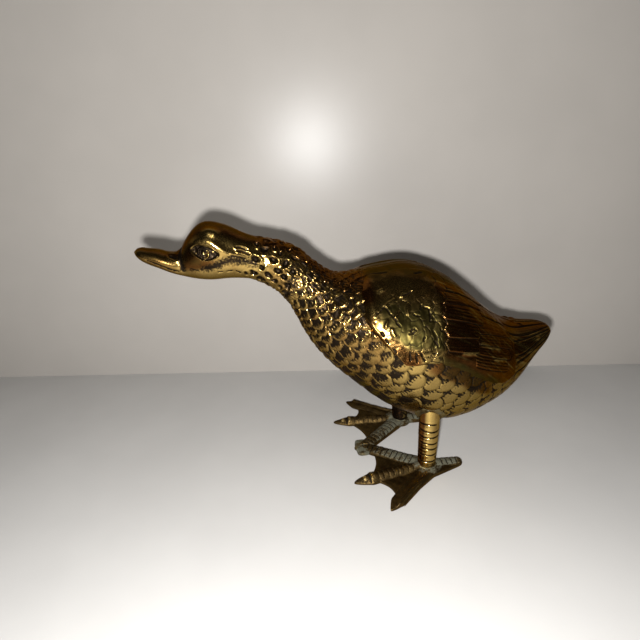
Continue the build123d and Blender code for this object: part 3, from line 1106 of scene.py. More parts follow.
        # Painted shade below the wing, along the back's top and under the belly ahead of the legs.
        under = 1.1 * self.below_wing() * window(station, 122.0, 132.0, 146.0, 164.0)
        back = 1.2 * smoothstep(24.0, 13.0, degrees) * window(station, 90.0, 104.0, 152.0, 172.0)
        belly = 1.35 * smoothstep(124.0, 144.0, degrees) * window(station, 92.0, 103.0, 113.0, 121.0)
        return 0.6 * np.max([neck, bill, nape, cheek, lores, crest, under, back, belly], axis=0)

    def build(self, side: Side, material: Material) -> Piece:
        """Makes one half shell: the worked skin, closed by a flat face along the seam.

        Args:
            side: which half.
            material: its finish.

        Returns:
            The new object.
        """
        outer = self.skin.points()
        share = np.linspace(0.0, 1.0, self.inner_columns + 2)[1:-1][None, :, None]
        inner = outer[:, -1:] * (1.0 - share) + outer[:, :1] * share
        points = np.concatenate([outer, inner], axis=1)
        marks = brass_marks(self.skin.grime, self.tone(), self.olive(), self.inner_columns)
        name = f"body_casting_{side.label()}"
        piece = make_piece(name, mirrored(points, side), material, marks, flat_columns=self.inner_columns + 1)
        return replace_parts(piece, f"body_shell_{side.label()}")


@dataclass
class SeamBraze:
    """The thin filler between the two halves, filed flush."""

    shell: BodyShell
    columns: int = 5
    crown: float = 0.04
    top_tone: float = 0.62

    def build(self, material: Material) -> Piece:
        """Makes a plate that fills the space between the edges of the halves.

        Each edge is carried straight across the gap and crowned by a parabola.

        Args:
            material: its finish.

        Returns:
            The new object.
        """
        top = self.shell.skin.points()[:, 0]
        bottom = self.shell.skin.points()[:, -1]
        across = np.linspace(1.0, -1.0, self.columns)
        bulge = self.crown * (1.0 - across**2)
        rise = unit(top - bottom)
        strips = []
        for edge, sign, order in ((top, 1.0, across), (bottom, -1.0, across[::-1])):
            strip = np.repeat(edge[:, None], self.columns, axis=1)
            strip[..., 1] = edge[:, None, 1] * order
            strips.append(strip + sign * rise[:, None] * bulge[None, :, None])
        points = np.concatenate(strips, axis=1)
        plain = np.zeros(points.shape[:2])
        # The top half is brown like the skin along the top: partly tarnish, partly painted shade.
        tone = plain + np.where(np.arange(2 * self.columns) < self.columns, self.top_tone, 0.0)
        piece = make_piece("seam_filler", points, material, brass_marks(plain, tone, plain))
        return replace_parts(piece, "seam_braze")


@dataclass(frozen=True)
class LongFeathers:
    """One tier of long wing feathers, listed from the top down.

    Borders are the lower edges' angles in degrees at the root and at the tip station of the tier.
    """

    top: tuple
    borders: tuple
    tips: tuple
    root: float
    end: float
    lift: float
    barbs: int = 4

    def lay(self, skin: Relief) -> None:
        """Lays the tier over the skin from its lowest feather to its highest.

        A feather is a strip between two borders with a rounded end: the distance outside it is
        that of a box with rounded corners. Its face is a shallow sawtooth across the strip, with
        fine lines cut along it.

        Args:
            skin: the wing's skin.
        """
        degrees = skin.degrees()
        rate = skin.form.rate(skin.station)
        share = (skin.station - self.root) / (self.end - self.root)
        edges = [pair[0] + (pair[1] - pair[0]) * share for pair in (self.top, *self.borders)]
        for number in reversed(range(len(self.borders))):
            half = np.maximum((edges[number + 1] - edges[number]) * rate / 2.0, 0.4)
            across = (degrees - (edges[number] + edges[number + 1]) / 2.0) * rate
            corner = 0.8 * half
            past = skin.station - self.tips[number] + corner
            aside = np.abs(across) - half + corner
            beyond = np.hypot(np.maximum(past, 0.0), np.maximum(aside, 0.0)) - corner
            beyond = beyond + np.minimum(np.maximum(past, aside), 0.0)
            sway = 0.5 * np.sin(skin.station * 0.35 + 2.0 * number)
            lines = np.cos(2.0 * np.pi * self.barbs * across / (2.0 * half) + sway)
            fine = smoothstep(0.45, 1.0, lines) * smoothstep(-0.2, -1.0, beyond)
            slope = 0.16 * across / half
            lip = 0.1 * smoothstep(-0.8, 0.1, beyond)
            broken = smoothstep(-0.3, 0.5, skin.streaks(0.1, 2.4, 70 + number))
            border = (0.42 + 0.2 * broken) * smoothstep(-0.5, -0.05, beyond)
            dark = np.maximum(0.72 * fine * broken, border)
            plate = (self.lift + slope - lip - 0.12 * fine, dark)
            skin.lay(slice(None), beyond, plate, (0.28, 0.34), skin.station > self.root - 4.0)


@dataclass
class FoldedWing:
    """One folded wing, lying on the casting's flank: coverts in front, then two tiers of long feathers.

    A covert row is its shift towards the tail, its lift and the width of its tips, in mm, and its
    lowest angle in degrees. Glints, cuts and nicks are placed by station and angle in degrees.
    """

    form: DuckForm
    plan: WingPlan
    rows: int = 400
    columns: int = 215
    back_columns: int = 8
    sunk: float = -1.3
    back_drop: float = 1.9
    glint_rise: float = 0.42
    skin: Relief = field(init=False)
    shine: Grid = field(init=False)
    glints: tuple = (
        ((110.7, 45.0), (106.9, 51.8)),
        ((117.3, 47.2), (116.2, 54.8)),
        ((112.4, 55.5), (110.9, 60.0)),
        ((107.6, 64.5), (107.1, 69.0)),
        ((109.4, 69.8), (110.7, 75.0)),
        ((114.4, 41.2), (116.6, 38.2)),
        ((104.1, 39.8), (106.0, 36.8)),
        ((149.3, 67.5), (155.0, 69.0), (160.7, 70.0)),
        ((157.2, 79.0), (164.2, 80.0)),
        ((140.0, 75.4), (147.0, 74.4)),
    )
    cuts: tuple = (
        ((106.9, 54.0), (108.5, 57.0), (109.8, 60.0), (112.7, 66.0)),
        ((106.3, 52.5), (102.7, 62.2)),
        ((115.7, 40.5), (120.2, 37.5)),
        ((125.2, 48.8), (127.4, 51.8), (126.8, 57.8)),
        ((117.1, 67.5), (118.8, 65.2), (119.9, 66.0)),
        ((116.6, 69.8), (119.1, 67.5)),
        ((119.5, 54.8), (121.7, 55.5)),
        ((123.9, 46.5), (123.2, 50.2)),
        ((123.0, 69.8), (122.6, 72.0)),
        ((127.0, 70.5), (128.3, 73.5)),
        ((130.5, 62.2), (132.9, 64.5)),
        ((116.6, 82.0), (117.4, 87.0)),
        ((119.0, 81.0), (120.0, 86.5)),
        ((121.4, 81.0), (122.6, 85.0)),
    )
    covert_rows: tuple = ((4.6, 0.8, 5.2, 84.0), (0.0, 0.95, 6.2, 100.0))
    nicks: tuple = ((103.8, 78.0), (104.1, 80.5), (107.5, 79.3), (110.7, 84.0), (105.6, 75.0))
    coverts: FeatherCoat = FeatherCoat(
        stations=(100.0, 118.0, 130.0, 138.0),
        width=(6.0, 6.0, 5.6, 5.0),
        dark=(0.3, 0.5, 0.5, 0.4),
        dark_end=(-0.4, -0.3, -0.3, -0.4),
        hollow=(0.0, 0.0, 0.0, 0.0),
        side_cut=(0.16, 0.22, 0.22, 0.16),
        tip_cut=(0.1, 0.12, 0.12, 0.1),
        depth=(0.08, 0.12, 0.15, 0.14),
        pits_end=0.0,
        first=102.0,
        last=132.0,
        tip_way=(-0.9, 0.0, -0.42),
        wander=0.15,
        turn=24.0,
        spread=0.12,
        seed=11,
    )
    secondaries: LongFeathers = LongFeathers(
        top=(10.0, 8.0),
        borders=((34.0, 30.0), (44.0, 38.5), (55.0, 53.0), (66.5, 63.5), (75.5, 74.0)),
        tips=(160.0, 156.0, 154.5, 149.8, 148.2),
        root=135.0,
        end=152.0,
        lift=0.62,
        barbs=5,
    )
    primaries: LongFeathers = LongFeathers(
        top=(10.0, 6.0),
        borders=((29.0, 18.0), (44.0, 35.0), (60.0, 53.0), (68.0, 68.0), (76.0, 82.0), (86.0, 97.0)),
        tips=(180.0, 176.5, 173.0, 171.0, 168.0, 165.5),
        root=150.0,
        end=172.0,
        lift=0.3,
    )

    def hold(self) -> Grid:
        """How fully the wing stands out: 1 inside its outline, 0 outside.

        The product of one S-shaped fall for each edge. The fall is short along the shoulder and long
        at the front, at the top and towards the tail, where the wing sinks into the casting.

        Returns:
            Shares from 0 to 1.
        """
        degrees = self.skin.degrees()
        station = self.skin.station
        below = -self.plan.inside(self.skin)
        above = (self.plan.top_angle - degrees) * self.form.rate(station)
        ahead = np.interp(degrees, self.plan.front_angles, self.plan.front_stations) - station
        past = station - 178.0 + 0.05 * np.abs(degrees - 60.0)
        soft = np.interp(station, (97.0, 108.0, 116.0, 124.0, 142.0), (4.0, 2.6, 1.2, 2.0, 5.5))
        share = np.ones(station.shape)
        for gap, width in ((below, soft), (above, 4.0), (ahead, 6.0), (past, 10.0)):
            share = share * smoothstep(0.35, -1.0, gap / width)
        return share

    def work(self) -> None:
        """Lays out the left wing's grid and works it from the lowest layer to the coverts on top.

        Height = sunk depth + (worked height - sunk depth) · how fully the wing stands out.
        """
        station = np.linspace(92.0, 183.0, self.rows)[:, None]
        low = self.plan.lower(station) + 7.0
        top = self.plan.top_angle - 4.0
        degrees = top + (low - top) * np.linspace(0.0, 1.0, self.columns)[None, :]
        self.skin = Relief(self.form, station, np.radians(degrees))
        tiers = Relief(self.form, station, np.radians(degrees))
        self.primaries.lay(tiers)
        self.secondaries.lay(tiers)
        self.lay_coverts(tiers)
        self.coverts.cut(tiers, self.scallop_share())
        self.flatten_coverts(tiers)
        self.cut_marks(tiers)
        rise = smoothstep(10.0, 42.0, degrees)
        lumps = 0.1 * ripple(tiers.base, 9.0, 5) + 0.05 * ripple(tiers.base, 3.2, 6)
        stands = self.hold()
        height = 0.15 + 0.35 * rise + lumps + tiers.height * (0.45 + 0.55 * rise)
        self.skin.height = self.sunk + (height - self.sunk) * stands
        # Painted shade: dark filling along the wing's lower edge, towards the tail.
        painted_edge_shade = 0.44 * smoothstep(4.5, 0.5, self.plan.inside(self.skin)) * smoothstep(120.0, 128.0, station)
        self.skin.grime = np.maximum(tiers.grime * smoothstep(0.35, 0.75, stands), painted_edge_shade)

    def lay_coverts(self, tiers: Relief) -> None:
        """Lays two rows of rounded covert tips over the roots of the long feathers.

        The line where a row ends is moved back by the absolute value of a sine, once for each tip.

        Args:
            tiers: the wing's layers.
        """
        degrees = tiers.degrees()
        rate = self.form.rate(tiers.station)
        ends = np.interp(degrees, self.plan.covert_angles, self.plan.covert_ends)
        everywhere = np.ones(degrees.shape, bool)
        for shift, lift, width, low_angle in self.covert_rows:
            tips = ends + shift - 1.2 + 1.4 * np.abs(np.sin(np.pi * degrees * rate / width))
            beyond = np.maximum(tiers.station - tips, (degrees - low_angle) * rate)
            soft = 0.35 * smoothstep(-2.2, 0.2, beyond)
            tiers.lay(slice(None), beyond, (lift - soft, np.zeros_like(soft)), (0.3, 0.25), everywhere)

    def scallop_share(self) -> Grid:
        """Where the coverts' small feathers show: in the middle of the wing, worn away on its crown.

        Returns:
            The share of the relief that each point keeps.
        """
        station = self.skin.station
        clear = np.interp(station, (104.0, 115.0, 122.0), (7.5, 7.0, 2.5))
        inner = smoothstep(-0.8, 0.8, self.plan.inside(self.skin) - clear)
        crown = smoothstep(36.0, 48.0, self.skin.degrees())
        return inner * crown * window(station, 103.0, 107.0, 131.0, 135.0)

    def flatten_coverts(self, tiers: Relief) -> None:
        """Flattens the coverts above a raised shoulder, and roughens both.

        The shoulder rises with the square of the nearness to the lower edge. The plate above it drops
        along an S-shaped curve, deeper and longer towards the tail.

        Args:
            tiers: the wing's layers.
        """
        degrees = tiers.degrees()
        station = tiers.station
        inside = self.plan.inside(tiers)
        behind = smoothstep(106.0, 117.0, station)
        facet = 0.75 * np.clip((6.5 - inside) / 5.0, 0.0, 1.3) ** 2
        facet = facet * smoothstep(124.0, 114.0, station) * smoothstep(40.0, 58.0, degrees)
        drop = (2.0 + 0.8 * behind) * smoothstep(0.0, 1.0, (inside - 6.0) / (14.0 + 6.0 * behind))
        drop = drop * smoothstep(13.0, 47.0, degrees) * window(station, 99.0, 105.0, 124.0, 136.0)
        beaten = 0.03 * ripple(tiers.base, 2.2, 8) * smoothstep(128.0, 120.0, station)
        grain = 0.035 * ripple(tiers.base, 1.7, 9) * smoothstep(9.0, 5.0, inside)
        tiers.height += facet - drop + beaten + grain * smoothstep(122.0, 116.0, station)

    def cut_marks(self, tiers: Relief) -> None:
        """Raises the worn glints, then cuts the strokes, the shoulder's nicks and the lines on the back.

        Args:
            tiers: the wing's layers.
        """
        plain = tiers.height.copy()
        for line in self.glints:
            tiers.engrave(Groove(line, 0.75, -self.glint_rise, 0.0, sway=0.2))
        self.shine = np.clip((tiers.height - plain) / self.glint_rise, 0.0, 1.0)
        for line in self.cuts:
            tiers.engrave(Groove(line, 0.36, 0.24, 0.9, 0.05, 0.35))
        for station, angle in self.nicks:
            tiers.engrave(Groove(((station, angle), (station + 0.6, angle + 1.5)), 0.45, 0.4))
        back_line = ((103.0, 10.5), (115.0, 11.5), (128.0, 12.0), (142.0, 11.0), (156.0, 10.0))
        tiers.engrave(Groove(back_line, 0.5, 0.4, 0.95))
        tiers.engrave(Groove(((100.0, 15.0), (104.0, 17.0), (110.0, 18.0)), 0.5, 0.4, 0.9))
        tiers.engrave(Groove(((125.0, 21.0), (128.5, 19.0)), 0.5, 0.5))

    def tone(self) -> Grid:
        """How brown the skin is: on crown, front edge, shoulder and the long feathers, not on the glints.

        On the crown it is partly tarnish and partly painted shade; elsewhere it is tarnish.

        Returns:
            0 for golden skin, rising to 1 for brown.
        """
        degrees = self.skin.degrees()
        station = self.skin.station
        inside = self.plan.inside(self.skin)
        # Crown: tarnish and painted shade.
        crown = 0.5 * smoothstep(62.0, 42.0, degrees) + 0.45 * smoothstep(30.0, 14.0, degrees)
        front = 0.95 * smoothstep(107.0, 99.0, station) * smoothstep(64.0, 50.0, degrees)
        rear = 0.98 * smoothstep(126.0, 137.0, station) * smoothstep(132.0, 116.0, degrees)
        band = (0.55 + 0.25 * smoothstep(110.0, 116.0, station)) * smoothstep(124.0, 120.0, station)
        band = band * smoothstep(9.0, 5.0, inside)
        streak = 0.65 * self.skin.streaks(0.14, 1.7, 51) * smoothstep(130.0, 138.0, station)
        return (np.max([crown, front, rear, band], axis=0) + streak) * (1.0 - self.shine)

    def olive(self) -> Grid:
        """How dark and green the skin is: on the plate of coverts, the back and the lower edge.

        On the plate it is tarnish and painted shade; along the back and the lower edge it is painted shade.

        Returns:
            0 for clean skin, rising as it darkens.
        """
        degrees = self.skin.degrees()
        station = self.skin.station
        inside = self.plan.inside(self.skin)
        # Plate of coverts: olive tarnish, darkened further as painted shade.
        plate = 0.86 * smoothstep(32.0, 54.0, degrees) * smoothstep(5.0, 8.5, inside)
        plate = plate * window(station, 102.0, 107.0, 129.0, 136.0)
        # Painted shade along the wing's top and its lower edge.
        back = 0.72 * smoothstep(36.0, 18.0, degrees) * window(station, 90.0, 104.0, 152.0, 172.0)
        edge = 0.8 * smoothstep(9.0, 4.0, inside) * window(station, 122.0, 132.0, 156.0, 168.0)
        mottle = 1.0 + 0.15 * ripple(self.skin.base, 6.0, 54)
        return np.max([plate, back, edge], axis=0) * mottle * (1.0 - self.shine)

    def build(self, side: Side, material: Material) -> Piece:
        """Makes one wing, closed underneath by a sheet that lies in the casting.

        Args:
            side: which wing.
            material: its finish.

        Returns:
            The new object.
        """
        skin = self.skin
        share = np.linspace(1.0, 0.0, self.back_columns + 2)[1:-1]
        picks = np.round(share * (self.columns - 1)).astype(int)
        under = skin.base[:, picks] + skin.normal[:, picks] * (self.sunk - self.back_drop)
        points = np.concatenate([skin.points(), under], axis=1)
        marks = brass_marks(skin.grime, self.tone(), self.olive(), self.back_columns)
        piece = make_piece(f"wing_{side.label()}", mirrored(points, side), material, marks)
        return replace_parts(piece, f"body_shell_{side.label()}")


@dataclass
class Eye:
    """One eye: a bead in a ring, in the dark hollow between two lids."""

    form: DuckForm
    station: float = 28.2
    degrees: float = 84.0
    front_reach: float = 5.9
    back_reach: float = 6.3
    half_height: float = 3.0
    front_rise: float = 0.6
    bead_radius: float = 1.2
    bead_height: float = 0.7
    ring_radius: float = 1.85
    ring_width: float = 0.28
    lid_place: float = 0.86
    lid_width: float = 0.07
    rings: int = 80
    spokes: int = 160

    def bend(self, x: Grid) -> Grid:
        """How far the almond's middle line lies below its bead: a hyperbola that rises to the front."""
        return 0.5 * self.front_rise * (x - np.sqrt(x**2 + 1.5) + np.sqrt(1.5))

    def spread(self, station: Grid, degrees: Grid) -> Grid:
        """How far out a place on the skin lies, from powers of its distances along and across.

        Args:
            station: distance along the spine, in mm.
            degrees: angle from the top.

        Returns:
            0 at the bead, 1 on the almond's outline.
        """
        x = station - self.station
        y = (degrees - self.degrees) * float(self.form.rate(np.array(self.station))) - self.bend(x)
        reach = np.where(x > 0.0, self.back_reach, self.front_reach)
        return (x / reach) ** 2 + (np.abs(y) / self.half_height) ** 1.54

    def build(self, side: Side, material: Material) -> Piece:
        """Makes the eye as a patch over the side of the head.

        Rings grow from the bead's middle to an almond outline, whose half height falls off as a power
        of the sine and whose front corner is bent upwards along a hyperbola. Height over the skin is
        a sum of bell curves of the distance from the middle: bead, groove, ring, and lids.

        Args:
            side: which eye.
            material: its finish.

        Returns:
            The new object.
        """
        spoke = circle(self.spokes)[None, :]
        ring = np.linspace(0.02, 1.0, self.rings)[:, None]
        reach = np.where(np.cos(spoke) > 0.0, self.back_reach, self.front_reach)
        x = ring * reach * np.cos(spoke)
        y = ring * self.half_height * np.sign(np.sin(spoke)) * np.abs(np.sin(spoke)) ** 1.3
        down = y + self.bend(x)
        station = self.station + x
        angle = np.radians(self.degrees + down / self.form.rate(np.array(self.station)))
        away = np.hypot(x, y)
        bead = self.bead_height * np.sqrt(np.clip(1.0 - (away / self.bead_radius) ** 2, 0.0, 1.0))
        glint = 0.22 * bell(away, 0.4)
        crest = bell(away - self.ring_radius, self.ring_width)
        lid = bell(ring - self.lid_place, self.lid_width)
        lid = lid * smoothstep(0.1, 0.5, np.abs(np.sin(spoke)) + 0.15)
        sink = -0.5 * smoothstep(0.98, 0.6, ring)
        height = bead + glint + 0.5 * crest + 0.5 * lid + sink - 0.5 * smoothstep(0.92, 1.0, ring)
        hollow = smoothstep(0.90, 0.78, ring)
        pupil = bell(away, 0.42)
        # The dark hollow is left clean on the bead's top and, as a painted highlight, on the ring's side
        # towards the tail.
        shine = crest * smoothstep(-0.1, 0.6, np.cos(spoke - 0.2))
        corner = smoothstep(0.55, 0.3, np.abs(np.sin(spoke))) * smoothstep(1.0, 0.9, ring)
        grime = np.maximum(hollow, corner) * (1.0 - 0.85 * np.maximum(pupil, shine))
        skin = self.form.point(station, angle)
        height = height + 0.08 * ripple(skin, 1.3, 61) * hollow
        grime = grime * (0.76 + 0.3 * ripple(skin, 1.2, 62))
        skin = skin + self.form.normal(station, angle) * height[..., None]
        under = self.form.point(station[-1:], angle[-1:]) - 1.0 * self.form.normal(station[-1:], angle[-1:])
        points = np.concatenate([skin, under], axis=0)
        zeros = np.zeros(points.shape[:2])
        marks = brass_marks(np.vstack([grime, grime[-1:]]), zeros + 0.3, zeros)
        piece = make_piece(f"eye_{side.label()}", mirrored(points, side), material, marks)
        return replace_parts(piece, f"body_shell_{side.label()}")


@dataclass
class Leg:
    """One leg: a tapered rod with rings cut across its outer side."""

    place: tuple = LEG_PLACE
    bottom: float = 2.4
    top: float = 34.0
    ankle_radius: float = 4.0
    top_radius: float = 4.45
    taper_start: float = 4.0
    taper_height: float = 17.2
    first_ring: float = 6.4
    pitch: float = 3.2
    rings: int = 7
    groove_width: float = 0.26
    depth: float = 0.32
    swell: float = 0.07
    ring_heading: float = 75.0
    painted_highlight_heading: float = 66.0
    # Share of painted shade on the leg's inner side.
    tarnish: float = 0.0
    rows: int = 260
    columns: int = 120

    def build(self, side: Side, material: Material) -> Piece:
        """Turns the leg: radius by height, less a bell-shaped groove at each ring, swollen between rings.

        Its brown tone is painted reflection and shade on either side of the highlight's heading, and its
        tarnish value lays painted shade on its inner side.

        Args:
            side: which leg.
            material: its finish.

        Returns:
            The new object.
        """
        z = np.linspace(self.bottom, self.top, self.rows)[:, None]
        turn = circle(self.columns)[None, :]
        share = np.clip((z - self.taper_start) / self.taper_height, 0.0, 1.0)
        radius = self.ankle_radius + (self.top_radius - self.ankle_radius) * share + 0.0 * turn
        grime = np.zeros_like(radius)
        dice = np.random.default_rng(5)
        for number in range(self.rings):
            slant = dice.normal() * 0.3
            wave = 0.15 * np.sin(2.0 * turn + dice.uniform(0.0, 6.0))
            middle = np.radians(self.ring_heading + dice.normal() * 22.0)
            cut = smoothstep(-0.35, 0.3, np.cos(turn - middle) - dice.uniform(-0.1, 0.35))
            gap = np.abs(z - self.first_ring - number * self.pitch - slant * np.sin(turn) - wave)
            radius = radius - self.depth * cut * bell(gap, self.groove_width)
            radius = radius + self.swell * cut * bell(gap - 0.8, 0.45)
            grime = np.maximum(grime, cut * np.clip(1.0 - 0.5 * gap / self.groove_width, 0.0, 1.0))
        x = self.place[0] + radius * np.cos(turn)
        y = self.place[1] + radius * np.sin(turn)
        points = np.stack([x, y, z + 0.0 * turn], axis=-1)
        points[..., :2] += 0.06 * ripple(points, 6.0, 9)[..., None]
        # Painted shade on the inner side, as much as the tarnish value; the leg also gets darker towards its
        # foot.
        inner = self.tarnish * smoothstep(0.4, -0.3, np.sin(turn))
        grime = np.maximum(grime, inner + 0.55 * smoothstep(4.6, 3.2, z))
        # Painted reflection and shade: the leg is browner to either side of the heading where the highlight
        # falls, most towards the bill.
        aside = np.sin(turn - np.radians(self.painted_highlight_heading))
        tone = 0.85 * smoothstep(-0.15, -0.55, aside) + 0.35 * smoothstep(0.15, 0.6, aside) + 0.0 * z
        marks = brass_marks(grime, tone, np.zeros_like(grime))
        piece = make_piece(f"leg_rod_{side.label()}", mirrored(points, side), material, marks)
        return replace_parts(piece, f"leg_{side.label()}")


class ToeEnd(Enum):
    """The shape of a toe's end."""

    CLAW = "a pointed claw behind a knuckle"
    WEDGE = "a broad flat wedge"
    ROUND = "a rounded end"


@dataclass(frozen=True)
class Toe:
    """One toe: heading from straight ahead in degrees, outwards, its sizes in mm and its end."""

    heading: float
    length: float
    half_width: float
    height: float
    end: ToeEnd
    ribs: float
    crust: float
    roundness: float
    claw: float = 7.5

    def width(self, along: Grid) -> Grid:
        """Half width along the toe: a quarter circle at a round end, powers of the way past at the others.

        Args:
            along: distance from the ankle, in mm.

        Returns:
            Half widths in mm.
        """
        run = np.clip(along / self.length, 0.0, 1.0)
        if self.end is ToeEnd.ROUND:
            past = np.clip((along - self.length + self.half_width) / self.half_width, 0.0, 1.0)
            return self.half_width * (1.12 - 0.2 * run) * np.sqrt(1.0 - past**2)
        past = np.clip((along - self.length + self.claw) / self.claw, 0.0, 1.0)
        if self.end is ToeEnd.WEDGE:
            flare = 0.7 + 0.25 * smoothstep(0.5, 0.82, run)
            return self.half_width * flare * (1.0 - 0.9 * past**1.15) * np.sqrt(1.0 - past**12)
        knuckle = 1.0 + 0.04 * bell(along - self.length + self.claw + 0.6, 1.4)
        body = self.half_width * (0.86 + 0.14 * run)
        return body * knuckle * (1.0 - past) ** 0.72 + 0.25 * np.sqrt(1.0 - past**6)

    def crest(self, along: Grid) -> Grid:
        """Height of the toe's ridge: an even fall from the ankle, then the shape of the end.

        Args:
            along: distance from the ankle, in mm.

        Returns:
            Heights in mm.
        """
        rise = self.height * (1.12 - 0.3 * np.clip(along / self.length, 0.0, 1.0))
        if self.end is ToeEnd.ROUND:
            past = np.clip((along - self.length + self.half_width) / self.half_width, 0.0, 1.0)
            return rise * (0.35 + 0.65 * np.sqrt(1.0 - past**2))
        start = along - self.length + self.claw
        past = np.clip(start / self.claw, 0.0, 1.0)
        if self.end is ToeEnd.WEDGE:
            return rise * (1.0 - 0.6 * past)
        knuckle = 0.2 * bell(start + 0.9, 1.5) - 0.3 * bell(start - 0.7, 0.55)
        return (rise + knuckle) * (1.0 - past) ** 0.8 + 0.55


